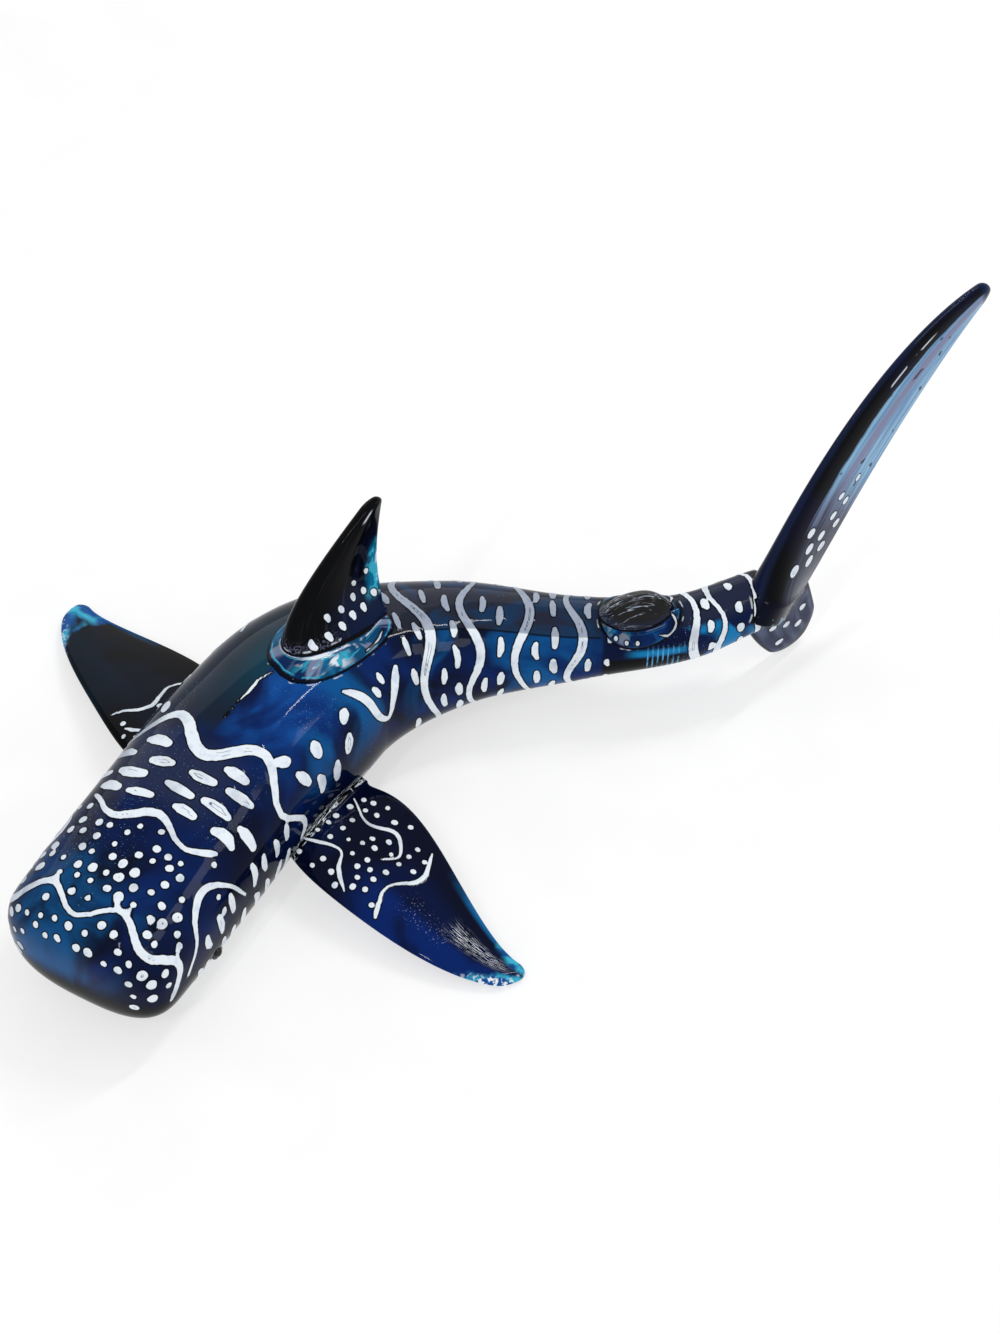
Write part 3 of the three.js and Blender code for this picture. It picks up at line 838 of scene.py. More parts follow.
@dataclass
class Marks:
    """The white drawing on one piece.

    Attributes:
        place: gives the point of the glass at two measures.
        seed: starts the hand's own unevenness.
        relief: how far a mark stands out of the glass.
        shoulder: over what width it rises.
        reach: the distance beyond which nothing needs to be known.
        strokes: what is drawn so far.
    """

    place: Callable[[float, float], np.ndarray]
    seed: int
    relief: float = 0.14
    shoulder: float = 0.5
    reach: float = 4.0
    strokes: list[Stroke] = field(default_factory=list)

    def __post_init__(self) -> None:
        """Starts the hand."""
        self.hand = np.random.default_rng(self.seed)

    def free(self, along: float, around: float, gap: float) -> bool:
        """Whether a place is further than a gap from every stroke so far."""
        return float(self.distance(self.place(along, around)[None, :])[0]) > gap

    def spot(self, along: float, around: float, size: float) -> None:
        """A near-round spot, placed a little off true.

        Args:
            along: its first measure.
            around: its second.
            size: how wide it is.
        """
        shift = self.hand.normal(0, 0.1 * size, 2)
        start = self.place(along, around)
        end = self.place(along + shift[0], around + shift[1])
        radii = np.full(2, size / 2) * self.hand.uniform(0.85, 1.1, 2)
        self.strokes.append(Stroke(np.array([start, end]), radii))

    def dash(self, along: float, around: float, length: float, width: float, heading: float = 90) -> None:
        """A drop-shaped dash.

        Args:
            along: the middle's first measure.
            around: its second.
            length: from end to end.
            width: at its widest.
            heading: degrees from the way along.
        """
        heading = math.radians(heading + self.hand.normal(0, 5))
        cos, sin, reach = math.cos(heading), math.sin(heading), (length - width) / 2
        bow = self.hand.normal(0, 0.05) * length
        points = []
        for step in (-1, -0.3, 0.4, 1.0):
            ahead, aside = step * reach, bow * (1 - step**2)
            points.append(self.place(along + cos * ahead - sin * aside, around + sin * ahead + cos * aside))
        taper = (0.62, 1, 0.95, 0.7) if self.hand.random() < 0.6 else (0.75, 0.95, 1, 0.6)
        self.strokes.append(Stroke(np.array(points), np.array(taper) * width / 2))

    def line(self, places: Sequence[tuple[float, float]], width: float, shake: float = 0.2) -> None:
        """A long line drawn through places, its width swelling and thinning.

        Args:
            places: pairs of measures.
            width: the usual width.
            shake: how far the hand strays.
        """
        path = spline_points(np.array(places, float), 12)
        points = np.array([self.place(*(spot + self.hand.normal(0, shake / 3, 2))) for spot in path[::2]])
        swell = 1 + 0.32 * np.sin(np.linspace(0, 9, len(points)) + self.hand.uniform(0, 6))
        ends = np.minimum(1, 0.55 + np.minimum(np.arange(len(points)), np.arange(len(points))[::-1]) * 0.2)
        self.strokes.append(Stroke(points, width / 2 * swell * ends))

    def wave(
        self, along: float, reach: float, lift: float, length: float, width: float, phase: float = 0
    ) -> None:
        """A line that waves across the back.

        Args:
            along: the first measure about which it waves.
            reach: how far it goes down each flank.
            lift: how far it waves.
            length: from crest to crest.
            width: the line's width.
            phase: where in its wave it crosses the ridge, in degrees.
        """
        turn = math.radians(phase)
        places = [
            (along + lift * math.cos(2 * math.pi * around / length + turn), around)
            for around in np.linspace(-reach, reach, round(reach / 2.2))
        ]
        self.line(places, width)

    def fill(
        self, rows: Sequence[float], reach: float, gap: float, size: tuple[float, float], clear: float
    ) -> None:
        """Rows of dashes laid across the back, wherever the drawing is free.

        Args:
            rows: the first measure of each row.
            reach: how far a row goes down each flank.
            gap: from dash to dash.
            size: a dash's length and width.
            clear: the room left round other strokes.
        """
        for row, along in enumerate(rows):
            for around in np.arange(-reach + (row % 2) * gap / 2, reach, gap):
                around += self.hand.normal(0, gap * 0.07)
                ahead = along + self.hand.normal(0, 0.5)
                if self.free(ahead, around, clear) and self.hand.random() > 0.07:
                    length, width = (value * self.hand.uniform(0.82, 1.15) for value in size)
                    self.dash(ahead, around, max(length, width * 1.05), width)

    def distance(self, places: np.ndarray) -> np.ndarray:
        """How far each place lies from the nearest stroke's edge, less than zero inside it.

        Args:
            places: points in millimetres.

        Returns:
            The distances, no more than the reach.
        """
        nearest = np.full(len(places), self.reach)
        for stroke in self.strokes:
            middle = stroke.points.mean(0)
            spread = np.linalg.norm(stroke.points - middle, axis=1).max() + stroke.radii.max() + self.reach
            close = np.nonzero(((places - middle) ** 2).sum(1) < spread**2)[0]
            if not len(close):
                continue
            here, best = places[close], nearest[close]
            for start, end, r0, r1 in zip(stroke.points, stroke.points[1:], stroke.radii, stroke.radii[1:]):
                run = end - start
                step = np.clip((here - start) @ run / max(run @ run, TINY), 0, 1)
                gap = np.linalg.norm(here - start - step[:, None] * run, axis=1) - lerp(r0, r1, step)
                best = np.minimum(best, gap)
            nearest[close] = best
        return nearest

    def draw(self, piece: bpy.types.Object) -> None:
        """Keeps the distance on the piece's vertices and raises the marks out of the glass.

        Args:
            piece: the piece that is drawn on.
        """
        mesh = piece.data
        places = vertex_places(piece)
        distance = self.distance(places)
        write_measure(piece, "mark", distance)
        normals = np.zeros(len(mesh.vertices) * 3)
        mesh.vertex_normals.foreach_get("vector", normals)
        rise = np.clip(0.5 - distance / self.shoulder, 0, 1)
        rise = rise * rise * (3 - 2 * rise) * self.relief
        places = np.clip(places + normals.reshape(-1, 3) * rise[:, None], *BOX)
        mesh.vertices.foreach_set("co", (places * MM).ravel())
        mesh.update()


def vertex_places(piece: bpy.types.Object) -> np.ndarray:
    """Reads a mesh's vertices.

    Args:
        piece: the mesh's object.

    Returns:
        Their places in millimetres.
    """
    places = np.zeros(len(piece.data.vertices) * 3)
    piece.data.vertices.foreach_get("co", places)
    return places.reshape(-1, 3) / MM


def write_measure(piece: bpy.types.Object, name: str, values: np.ndarray) -> None:
    """Keeps one number on each vertex for the material to read."""
    layer = piece.data.attributes.get(name) or piece.data.attributes.new(name, "FLOAT", "POINT")
    layer.data.foreach_set("value", values.astype(np.float32))


def write_nearness(
    piece: bpy.types.Object, others: Sequence[bpy.types.Object], name: str = "near", reach: float = 6.0
) -> None:
    """Keeps on each vertex how far it lies from other pieces, where they are fused to this one.

    Args:
        piece: the piece to write to.
        others: the pieces that touch it.
        name: the measure's name.
        reach: the distance beyond which nothing needs to be known, in millimetres.
    """
    places = vertex_places(piece)
    nearest = np.full(len(places), reach)
    for other in others:
        far = vertex_places(other)
        low, high = far.min(0) - reach, far.max(0) + reach
        tree = BVHTree.FromPolygons(
            [Vector(place) for place in far], [tuple(face.vertices) for face in other.data.polygons]
        )
        for index in np.nonzero(((places > low) & (places < high)).all(1))[0]:
            found = tree.find_nearest(Vector(places[index]), reach)
            if found[0] is not None:
                nearest[index] = min(nearest[index], found[3])
    write_measure(piece, name, nearest)


# Finishes

Socket = bpy.types.NodeSocket
Value = Socket | float | tuple
Scale = tuple[float, float, float]


class Nodes:
    """A node tree, filled by calls that give back the socket to read."""

    def __init__(self, tree: bpy.types.NodeTree) -> None:
        """Starts on an emptied tree.

        Args:
            tree: the tree to fill.
        """
        self.tree = tree
        tree.nodes.clear()

    def feed(self, socket: Socket, value: Value) -> None:
        """Links a socket to another, or writes a plain value to it.

        Args:
            socket: the socket that takes the value.
            value: a socket, number, colour or vector.
        """
        if isinstance(value, bpy.types.NodeSocket):
            self.tree.links.new(value, socket)
        else:
            socket.default_value = value

    def node(self, kind: str, inputs: dict[str | int, Value], **settings: str | bool) -> Sequence[Socket]:
        """Adds a node.

        Args:
            kind: its type, without the leading ShaderNode.
            inputs: what its sockets take, by name or number.
            settings: its other properties.

        Returns:
            Its outputs.
        """
        node = self.tree.nodes.new("ShaderNode" + kind)
        for name, value in settings.items():
            setattr(node, name, value)
        for name, value in inputs.items():
            self.feed(node.inputs[name], value)
        return node.outputs

    def math(self, operation: str, *values: Value, clamp: bool = False) -> Socket:
        """Arithmetic on one to three values."""
        return self.node("Math", dict(enumerate(values)), operation=operation, use_clamp=clamp)[0]

    def times(self, *values: Value) -> Value:
        """The product of one or more values.

        Args:
            values: what to multiply.

        Returns:
            The product, which is the value itself where there is only one.
        """
        product = values[0]
        for value in values[1:]:
            product = self.math("MULTIPLY", product, value)
        return product


class Graph(Nodes):
    """The nodes of a material, whose colour is laid on coat by coat."""

    def __init__(self, name: str, ground: Colour) -> None:
        """Starts a material with its shader.

        Args:
            name: the material's name.
            ground: the colour under all coats.
        """
        self.material = bpy.data.materials.new(name)
        self.material.use_nodes = True
        super().__init__(self.material.node_tree)
        self.shader = self.tree.nodes.new("ShaderNodeBsdfPrincipled")
        output = self.tree.nodes.new("ShaderNodeOutputMaterial")
        self.tree.links.new(self.shader.outputs["BSDF"], output.inputs["Surface"])
        self.place = self.node("TexCoord", {})["Object"]
        self.colour: Value = ground

    def tools(self) -> tuple[Callable[..., Socket], ...]:
        """The calls that a finish makes most often: rise, band, times, patches and lay."""
        return self.rise, self.band, self.times, self.patches, self.lay

    def mix(self, share: Value, low: Value, high: Value) -> Socket:
        """A colour a share of the way from one to another."""
        return self.node("Mix", {"Factor": share, 6: low, 7: high}, data_type="RGBA")[2]

    def lay(self, colour: Value, *shares: Value) -> None:
        """Lays a coat of a colour, as thick as the product of the shares."""
        self.colour = self.mix(self.times(*shares), self.colour, colour)

    def rise(self, value: Value, low: float, high: float, top: float = 1.0) -> Socket:
        """A smooth step from nothing at low to the top at high. Low may be the greater."""
        ends = {"Value": value, "From Min": low, "From Max": high, "To Max": top}
        return self.node("MapRange", ends, interpolation_type="SMOOTHSTEP")[0]

    def band(self, value: Value, low: float, high: float, soft: float, top: float = 1.0) -> Socket:
        """One between two limits, fading over a soft edge on either side."""
        up = self.rise(value, low - soft, low + soft)
        return self.times(up, self.rise(value, high + soft, high - soft, top))

    def noise(
        self,
        scale: float,
        detail: float = 2,
        rough: float = 0.5,
        warp: float = 0,
        at: Optional[Socket] = None,
    ) -> Socket:
        """A cloud from nought to one.

        Args:
            scale: how many lumps fit on one unit of the place.
            detail: how many finer clouds it has.
            rough: how strong those are.
            warp: how far it is bent by itself.
            at: the place to read it at, or nothing for the object's own in metres.

        Returns:
            The cloud.
        """
        place = self.place if at is None else at
        shape = {"Vector": place, "Scale": scale, "Detail": detail, "Roughness": rough, "Distortion": warp}
        return self.node("TexNoise", shape)[0]

    def patches(
        self, low: float, high: float, *cloud: float, at: Optional[Socket] = None, top: float = 1.0
    ) -> Socket:
        """Patches where a cloud is thick: nothing where it is low, the top where it is high."""
        return self.rise(self.noise(*cloud, at=at), low, high, top)

    def frayed(self, value: Value, spread: float, *cloud: float, at: Optional[Socket] = None) -> Socket:
        """A value that strays by up to half a spread to either side."""
        stray = self.math("MULTIPLY_ADD", self.noise(*cloud, at=at), spread, -spread / 2)
        return self.math("ADD", value, stray)

    def stretched(self, vector: Socket, scale: Scale, shift: float = 0) -> Socket:
        """A place scaled and shifted, so that a cloud is drawn out."""
        return self.node("Mapping", {"Vector": vector, "Scale": scale, "Location": (shift,) * 3})[0]

    def shifted(self, shift: float) -> Socket:
        """The object's own place, moved to where a cloud looks different."""
        return self.stretched(self.place, (1, 1, 1), shift)

    def combed(self, heading: float, scale: Scale) -> Socket:
        """The object's own place, turned and drawn out for threads.

        Args:
            heading: the way of the threads, in degrees, which is laid along x.
            scale: how fine the pattern is along each axis.

        Returns:
            The place.
        """
        turn = (0, 0, math.radians(heading))
        comb = {"Vector": self.place, "Rotation": turn, "Scale": tuple(1 / value for value in scale)}
        return self.node("Mapping", comb, vector_type="TEXTURE")[0]

    def map(self, name: str) -> tuple[Socket, Socket, Socket]:
        """A UV map as a vector, and its two measures."""
        vector = self.node("UVMap", {}, uv_map=name)[0]
        return vector, *self.node("SeparateXYZ", {0: vector})[:2]

    def height(self) -> Socket:
        """Height above the floor in metres."""
        return self.node("SeparateXYZ", {0: self.place})[2]

    def measure(self, name: str) -> Socket:
        """A number kept on the vertices."""
        return self.node("Attribute", {}, attribute_name=name)["Fac"]

    def bump(self, height: Socket, strength: float, distance: float = 0.0005) -> Socket:
        """A normal tilted by a height, which spans a distance in metres."""
        return self.node("Bump", {"Strength": strength, "Distance": distance, "Height": height})[0]

    def finish(self, **sockets: Value) -> bpy.types.Material:
        """Writes the colour and other sockets of the shader, named with underlines for spaces.

        Args:
            sockets: what the shader's sockets take.

        Returns:
            The material.
        """
        for name, value in {"Base_Color": self.colour, **sockets}.items():
            self.feed(self.shader.inputs[name.replace("_", " ")], value)
        return self.material


BLACK = srgb(4, 5, 8)
INK = srgb(2, 3, 7)
NIGHT = srgb(4, 11, 36)
NAVY = srgb(4, 20, 62)
COBALT = srgb(4, 42, 108)
LAGOON = srgb(8, 86, 148)
CYAN = srgb(60, 176, 206)
LILAC = srgb(128, 132, 170)
SKY = srgb(116, 158, 194)
WHITE = srgb(232, 240, 248)


@dataclass(frozen=True)
class GlassGloss:
    """How glass mirrors: its index, and its roughness when bare and when painted."""

    index: float = 1.14
    bare: float = 0.05
    painted: float = 0.2

    def wear(self, graph: Graph, sunk_and_veiled: Value = 0.0, **sockets: Value) -> bpy.types.Material:
        """Finishes a material as glossy glass with its white drawing.

        Args:
            graph: the material's nodes.
            sunk_and_veiled: how far the drawing has sunk into the glass, and on the body how far a painted
                reflection veil greys it.
            sockets: the shader's other sockets.

        Returns:
            The material.
        """
        white = add_marks(graph, sunk_and_veiled)
        rough = graph.math("MULTIPLY_ADD", white, self.painted - self.bare, self.bare)
        return graph.finish(Roughness=rough, IOR=self.index, **sockets)


GLOSS = GlassGloss()


def add_marks(graph: Graph, sunk_and_veiled: Value) -> Socket:
    """Lays on the white drawing with its thin dark outline.

    Args:
        graph: the material's nodes.
        sunk_and_veiled: how far the paint has sunk into the glass, and on the body how far it lies under a
            painted reflection veil; both make it grey-blue and clear.

    Returns:
        How much of the glass is painted.
    """
    distance = graph.frayed(graph.measure("mark"), 0.26, 620, 3)
    graph.lay(INK, graph.rise(distance, 0.7, 0.35, 0.9))
    clear = graph.patches(0.5, 0.72, 70, 3, at=graph.shifted(3), top=0.5)
    clear = graph.math("ADD", clear, sunk_and_veiled, clamp=True)
    paint = graph.mix(graph.patches(0.5, 0.75, 300, 3, top=0.5), WHITE, srgb(178, 200, 226))
    paint = graph.mix(graph.times(clear, 0.62), paint, srgb(64, 84, 122))
    inside = graph.band(distance, -1.52, -1.34, 0.06)
    trace = graph.times(graph.patches(0.54, 0.58, 90, at=graph.shifted(9)), inside, 0.8)
    white = graph.rise(distance, 0.08, -0.12)
    graph.lay(graph.mix(trace, paint, NIGHT), white)
    return white


def add_threads(graph: Graph, reach: float, heading: float = 26) -> None:
    """Lays on torn white threads with black between them, where another piece is fused on.

    Args:
        graph: the material's nodes.
        reach: how far the seam spreads, in millimetres.
        heading: the way the threads run, in degrees.
    """
    near = graph.frayed(graph.measure("near"), reach * 1.4, 1, 2, at=graph.combed(heading, (60, 260, 200)))
    seam = graph.rise(near, reach, reach * 0.6)
    torn = graph.noise(1, 3, 0.55, 0.5, at=graph.combed(heading, (120, 560, 420)))
    graph.lay(BLACK, seam, 0.92)
    graph.lay(WHITE, seam, graph.band(torn, 0.485, 0.525, 0.01), 0.95)


def add_rim(graph: Graph, width: float, name: str = "near") -> None:
    """Draws a thin dark line where another piece meets the glass, with a broken pale one beside it.

    Args:
        graph: the material's nodes.
        width: the dark line's width, in millimetres.
        name: the measure that tells how near the other piece is.
    """
    near = graph.measure(name)
    broken = graph.patches(0.53, 0.6, 150, top=0.6)
    graph.lay(WHITE, graph.band(near, width + 0.1, width + 0.6, 0.15), broken)
    graph.lay(INK, graph.rise(near, width, width * 0.6))


class BodyGlass(Graph):
    """Deep blue glass, with painted light in clouds along its flanks, and painted shade that leaves it near
    black at ridge and belly.

    Each zone of the body is laid on by a method of its own. Places are in metres, along the ridge from
    the snout's tip and round from the ridge, which is less than nought on the left.
    """

    def __init__(self) -> None:
        """Reads the skin's measures and makes the clouds that the zones share."""
        super().__init__("body_glass", NIGHT)
        _, self.along, self.around = self.map("skin")
        self.side = self.math("ABSOLUTE", self.around)
        self.cloud = self.noise(19, 3, 0.55, 0.9)
        self.pool = self.noise(27, 3, 0.5, 1.2, at=self.shifted(7))
        # the snout's front, where painted light brightens the clouds
        self.front = self.times(self.rise(self.along, 0.062, 0.03), self.rise(self.around, -0.036, -0.006))

    def coat(self) -> bpy.types.Material:
        """Lays on every zone, then the seams, fine sky-blue specks that are partly painted sparkle, and the
        drawing.

        Returns:
            The material.
        """
        self._clouds()
        self._snout()
        self._trunk()
        reflection_veil = self._rear()
        self._stem()
        self._shade()
        self._flutes()
        add_rim(self, 0.5, "rim")
        add_threads(self, 4.2)
        # fine sky-blue specks in the glass, partly painted sparkle
        specks_and_sparkle = self.patches(0.77, 0.81, 2300, 0)
        self.lay(SKY, specks_and_sparkle, self.patches(0.58, 0.68, 26, at=self.shifted(5)), 0.8)
        # the drawing greyed under the painted reflection veil and on the far flank, where painted reflection
        # lies
        sunk_and_veiled = self.math("MAXIMUM", reflection_veil, self.rise(self.around, 0.01, 0.04, 0.7))
        return GLOSS.wear(self, sunk_and_veiled, Normal=self.bump(self.noise(45), 0.1))

    def _clouds(self) -> None:
        """Navy clouds over the whole body, and cobalt and lagoon clouds of painted light along the flanks and
        at the snout's front.
        """
        rise, band, times, _, lay = self.tools()
        flank = band(self.side, 0.008, 0.05, 0.012)
        trunk = band(self.along, 0.118, 0.285, 0.02)
        # painted light on the flanks, strongest along the trunk and at the snout's front
        lit = times(flank, self.math("MULTIPLY_ADD", trunk, 0.45, 0.45))
        lit = self.math("ADD", lit, times(self.front, 0.6), clamp=True)
        lay(NAVY, rise(self.cloud, 0.34, 0.58))
        lay(COBALT, lit, rise(self.cloud, 0.36, 0.58))
        # painted pools of bright light in the glass
        bright = self.math("MAXIMUM", self.front, times(trunk, flank))
        lay(LAGOON, bright, rise(self.pool, 0.46, 0.66, 0.9))

    def _snout(self) -> None:
        """Painted light in teal on the snout's far half, painted shade on its near cheek, a painted
        grey-violet reflection over the brow, and painted shade greyed by reflection on the far flank.
        """
        rise, band, _, patches, lay = self.tools()
        along, around = self.along, self.around
        # painted light: teal on the snout's far half
        lay(srgb(10, 78, 130), self.front, rise(around, -0.016, 0.006), rise(self.pool, 0.34, 0.54, 0.75))
        # painted shade on the near cheek
        lay(srgb(4, 13, 42), rise(along, 0.058, 0.034), rise(around, -0.008, -0.03, 0.8))
        lay(NIGHT, patches(0.52, 0.68, 13, 2, 0.5, 0.5, at=self.shifted(13), top=0.6))
        # painted grey-violet reflection over the brow
        lay(srgb(36, 45, 74), band(along, 0.078, 0.106, 0.007), rise(around, -0.026, -0.009), 0.85)
        # painted shade, greyed by reflection, on the far flank of the head
        lay(srgb(24, 28, 48), rise(around, 0.01, 0.03, 0.6), band(along, 0.05, 0.108, 0.01))

    def _trunk(self) -> None:
        """Painted light in bright blue on the near side of the ridge, and a painted grey-teal veil of
        reflection and shade on the far side of it.
        """
        rise, band, times, _, lay = self.tools()
        along, around = self.along, self.around
        # painted light: a bright blue pool on the near side of the ridge
        beside = times(band(along, 0.116, 0.15, 0.012), band(around, -0.026, 0.0, 0.007))
        lay(srgb(14, 78, 158), beside, rise(self.pool, 0.38, 0.58, 0.8))
        # painted reflection and shade: grey-teal on the far side of the ridge
        teal = times(rise(around, 0.022, 0.002), band(along, 0.136, 0.175, 0.02))
        behind = times(rise(along, 0.104, 0.12), rise(along, 0.2, 0.196))
        beyond = times(rise(around, -0.0003, 0.0003), behind, 0.9)
        lay(self.mix(teal, srgb(20, 30, 42), srgb(12, 62, 78)), beyond)

    def _rear(self) -> Socket:
        """A painted grey reflection veil, with shade, over the top of the rear trunk and above a dark line.

        Returns:
            Where the painted veil lies.
        """
        rise, band, times, _, lay = self.tools()
        around = self.around
        rear = band(self.along, 0.199, 0.285, 0.001)
        # the painted reflection veil over the top of the rear trunk
        reflection_veil = times(rise(around, -0.0122, -0.0114), rear)
        lay(self.mix(rise(self.pool, 0.5, 0.62), srgb(36, 39, 50), srgb(24, 50, 80)), reflection_veil, 0.85)
        lay(INK, band(around, -0.0122, -0.0114, 0.0002), rear, 0.8)
        return reflection_veil

    def _stem(self) -> None:
        """Sky-blue patches on the stem's sides, and painted shade, greyed by reflection, along its top."""
        rise, band, times, patches, lay = self.tools()
        along, side = self.along, self.side
        blue = times(band(along, 0.315, 0.345, 0.001), rise(side, 0.009, 0.011))
        lay(srgb(16, 122, 182), blue, patches(0.42, 0.5, 62, 1, 0.5, 0.4, at=self.shifted(21), top=0.95))
        # painted shade, greyed by reflection, along the top of the stem
        painted_top_shade = self.mix(rise(along, 0.314, 0.318), srgb(20, 22, 36), srgb(32, 40, 64))
        lay(painted_top_shade, rise(along, 0.28, 0.286), rise(side, 0.013, 0.007))

    def _shade(self) -> None:
        """Painted shade under the belly and along the lips, both black, and near black where the body enters
        the hub.
        """
        rise, _, _, _, lay = self.tools()
        along = self.along
        girth = self.math("MULTIPLY_ADD", rise(along, 0.16, 0.29), 0.024, self.side)
        lay(BLACK, rise(girth, 0.052, 0.078, 0.95))
        lay(BLACK, rise(self.height(), 0.03, 0.019), rise(along, 0.1, 0.06))
        lay(srgb(10, 12, 20), rise(along, 0.3455, 0.347))

    def _flutes(self) -> None:
        """A painted blue highlight arc over black beside the second foot, with pale flutes."""
        rise, band, times, patches, lay = self.tools()
        along, around = self.along, self.around
        below = times(band(along, 0.286, 0.3165, 0.001), rise(around, -0.01, -0.012))
        lay(srgb(4, 14, 48), below, 0.9)
        lay(BLACK, below, rise(around, -0.0205, -0.0225))
        # painted highlight: a blue arc under the second lens's near edge
        lay(srgb(14, 122, 178), band(along, 0.297, 0.3165, 0.004), band(around, -0.0205, -0.0175, 0.001))
        flute = rise(self.math("SINE", times(along, 2 * math.pi / FLUTE_STEP)), 0.3, 0.95)
        fluted = times(band(along, 0.302, 0.3165, 0.001), band(around, -0.043, -0.0175, 0.003))
        lay(srgb(98, 168, 214), fluted, flute, patches(0.34, 0.62, 210), 0.9)


@dataclass(frozen=True)
class PectoralGlass:
    """Blue-black glass, with painted light: a blue pool along the blade, and a cyan tip and rear edge where
    light shines through the thin glass.

    Attributes:
        name: the material's name.
        edge: colour towards the edges.
        deep: colour of the middle.
        pool: colour of the painted pool of light along the front edge.
        glow: strength of the painted light in the pool and along the bright rear edge.
        sparkle: strength of the scratches and of the painted sparkle.
        fleck: scale of the cyan flecks at the tip.
        tip_start: share of the span at which the tip's colour starts.
        shine: how strongly the glass mirrors.
    """

    name: str
    edge: Colour
    deep: Colour
    pool: Colour
    glow: float
    sparkle: float
    fleck: float
    tip_start: float
    shine: float

    def coat(self) -> bpy.types.Material:
        """Lays the coats on.

        Returns:
            The material.
        """
        graph = Graph(self.name, self.edge)
        rise, band, times, patches, lay = graph.tools()
        vector, out, back = graph.map("share")
        cloud = graph.noise(34, 3, 0.5, 0.9)
        lay(self.deep, band(back, -0.6, 0.45, 0.3), rise(cloud, 0.34, 0.56))
        # painted light: a blue pool along the front of the blade
        pool = times(band(out, 0.34, 0.96, 0.1), rise(back, -0.1, -0.45), self.glow)
        lay(self.pool, pool, rise(cloud, 0.28, 0.5))
        reach = graph.frayed(out, 0.16, 90, 3)
        # painted light along the thin rear edge
        lay(srgb(14, 96, 154), rise(back, 0.76, 0.95), band(reach, 0.6, 1.0, 0.08), self.glow)
        # the tip, painted light through the thin glass, brightest at its two corners
        patch = patches(0.55, 0.62, 75, 1, at=graph.shifted(31))
        patch = times(patch, 1 - self.glow, rise(reach, 0.7, 0.78), 1.8)
        outward = graph.math("MULTIPLY_ADD", graph.math("ABSOLUTE", back), 0.16, -0.09)
        corner = graph.math("ADD", reach, outward)
        tip = graph.math("MAXIMUM", patch, rise(corner, self.tip_start, self.tip_start + 0.08), clamp=True)
        lay(srgb(10, 78, 146), tip)
        lay(CYAN, tip, patches(0.44, 0.62, self.fleck, 3, 0.4))
        crust = graph.math("MAXIMUM", rise(reach, 0.95, 1.0), times(tip, rise(back, -0.5, -0.8)))
        lay(WHITE, crust, patches(0.52, 0.58, 560), self.glow)
        # white scratches, partly painted highlight, and painted sparkle in the glass
        hair = patches(0.5, 0.525, 1, 2, 0.6, 0.1, at=graph.stretched(vector, (9, 76, 1)))
        grit = patches(0.47, 0.55, 1, 2, at=graph.stretched(vector, (26, 30, 1), 5))
        scratched = times(band(out, 0.7, 0.93, 0.05), band(back, -0.1, 0.35, 0.2), self.sparkle)
        lay(srgb(238, 242, 250), scratched, hair, grit)
        sparkle = times(band(out, 0.5, 0.72, 0.06), band(back, -0.5, 0.0, 0.15), self.sparkle)
        lay(LILAC, sparkle, patches(0.7, 0.76, 1500, 0), 0.7)
        add_threads(graph, 2.4)
        return GLOSS.wear(graph, Normal=graph.bump(graph.noise(55), 0.25), Specular_IOR_Level=self.shine)


@dataclass(frozen=True)
class DorsalGlass:
    """Black glass, faintly streaked lengthwise with a painted grey reflection, with painted cyan light low on
    its thin rear edge and a painted highlight near the tip.
    """

    name: str = "dorsal_glass"

    def coat(self) -> bpy.types.Material:
        """Lays the coats on.

        Returns:
            The material.
        """
        graph = Graph(self.name, BLACK)
        rise, band, times, patches, lay = graph.tools()
        vector, out, back = graph.map("share")
        streak = graph.noise(1, 3, 0.6, at=graph.stretched(vector, (1.1, 6, 1), 2))
        # a painted grey reflection, streaked lengthwise
        lay(srgb(62, 64, 72), band(back, -0.8, 0.2, 0.25), rise(out, 0.9, 0.7), rise(streak, 0.5, 0.66, 0.5))
        lay(srgb(10, 15, 46), rise(back, -0.1, 0.5), rise(out, 0.85, 0.6), rise(streak, 0.35, 0.55))
        lay(srgb(8, 26, 60), rise(out, 0.42, 0.2), rise(back, -0.5, 0.3), 0.8)
        # a painted highlight near the tip, towards the front edge
        lay(srgb(214, 218, 226), band(out, 0.88, 0.95, 0.015), band(back, -0.55, -0.38, 0.06), 0.9)
        # the rear edge, painted cyan light shining through the thin glass
        edge = rise(graph.frayed(back, 0.34, 130, 3), 0.56, 0.84)
        glow = times(edge, band(out, 0.16, 0.6, 0.07))
        lay(srgb(10, 112, 150), glow)
        lay(CYAN, glow, patches(0.47, 0.56, 1, 3, at=graph.stretched(vector, (9, 5, 1))))
        lay(WHITE, rise(back, 0.9, 0.98), patches(0.52, 0.6, 330), band(out, 0.14, 0.5, 0.04))
        # painted lilac reflections, in curls low on the front edge
        curl = band(graph.noise(260, 3, 0.5, 2.0), 0.49, 0.52, 0.01)
        lay(LILAC, rise(back, 0.1, -0.5), rise(out, 0.2, 0.1), curl, 0.8)
        add_rim(graph, 0.35)
        return GLOSS.wear(graph, Normal=graph.bump(graph.noise(80), 0.2))


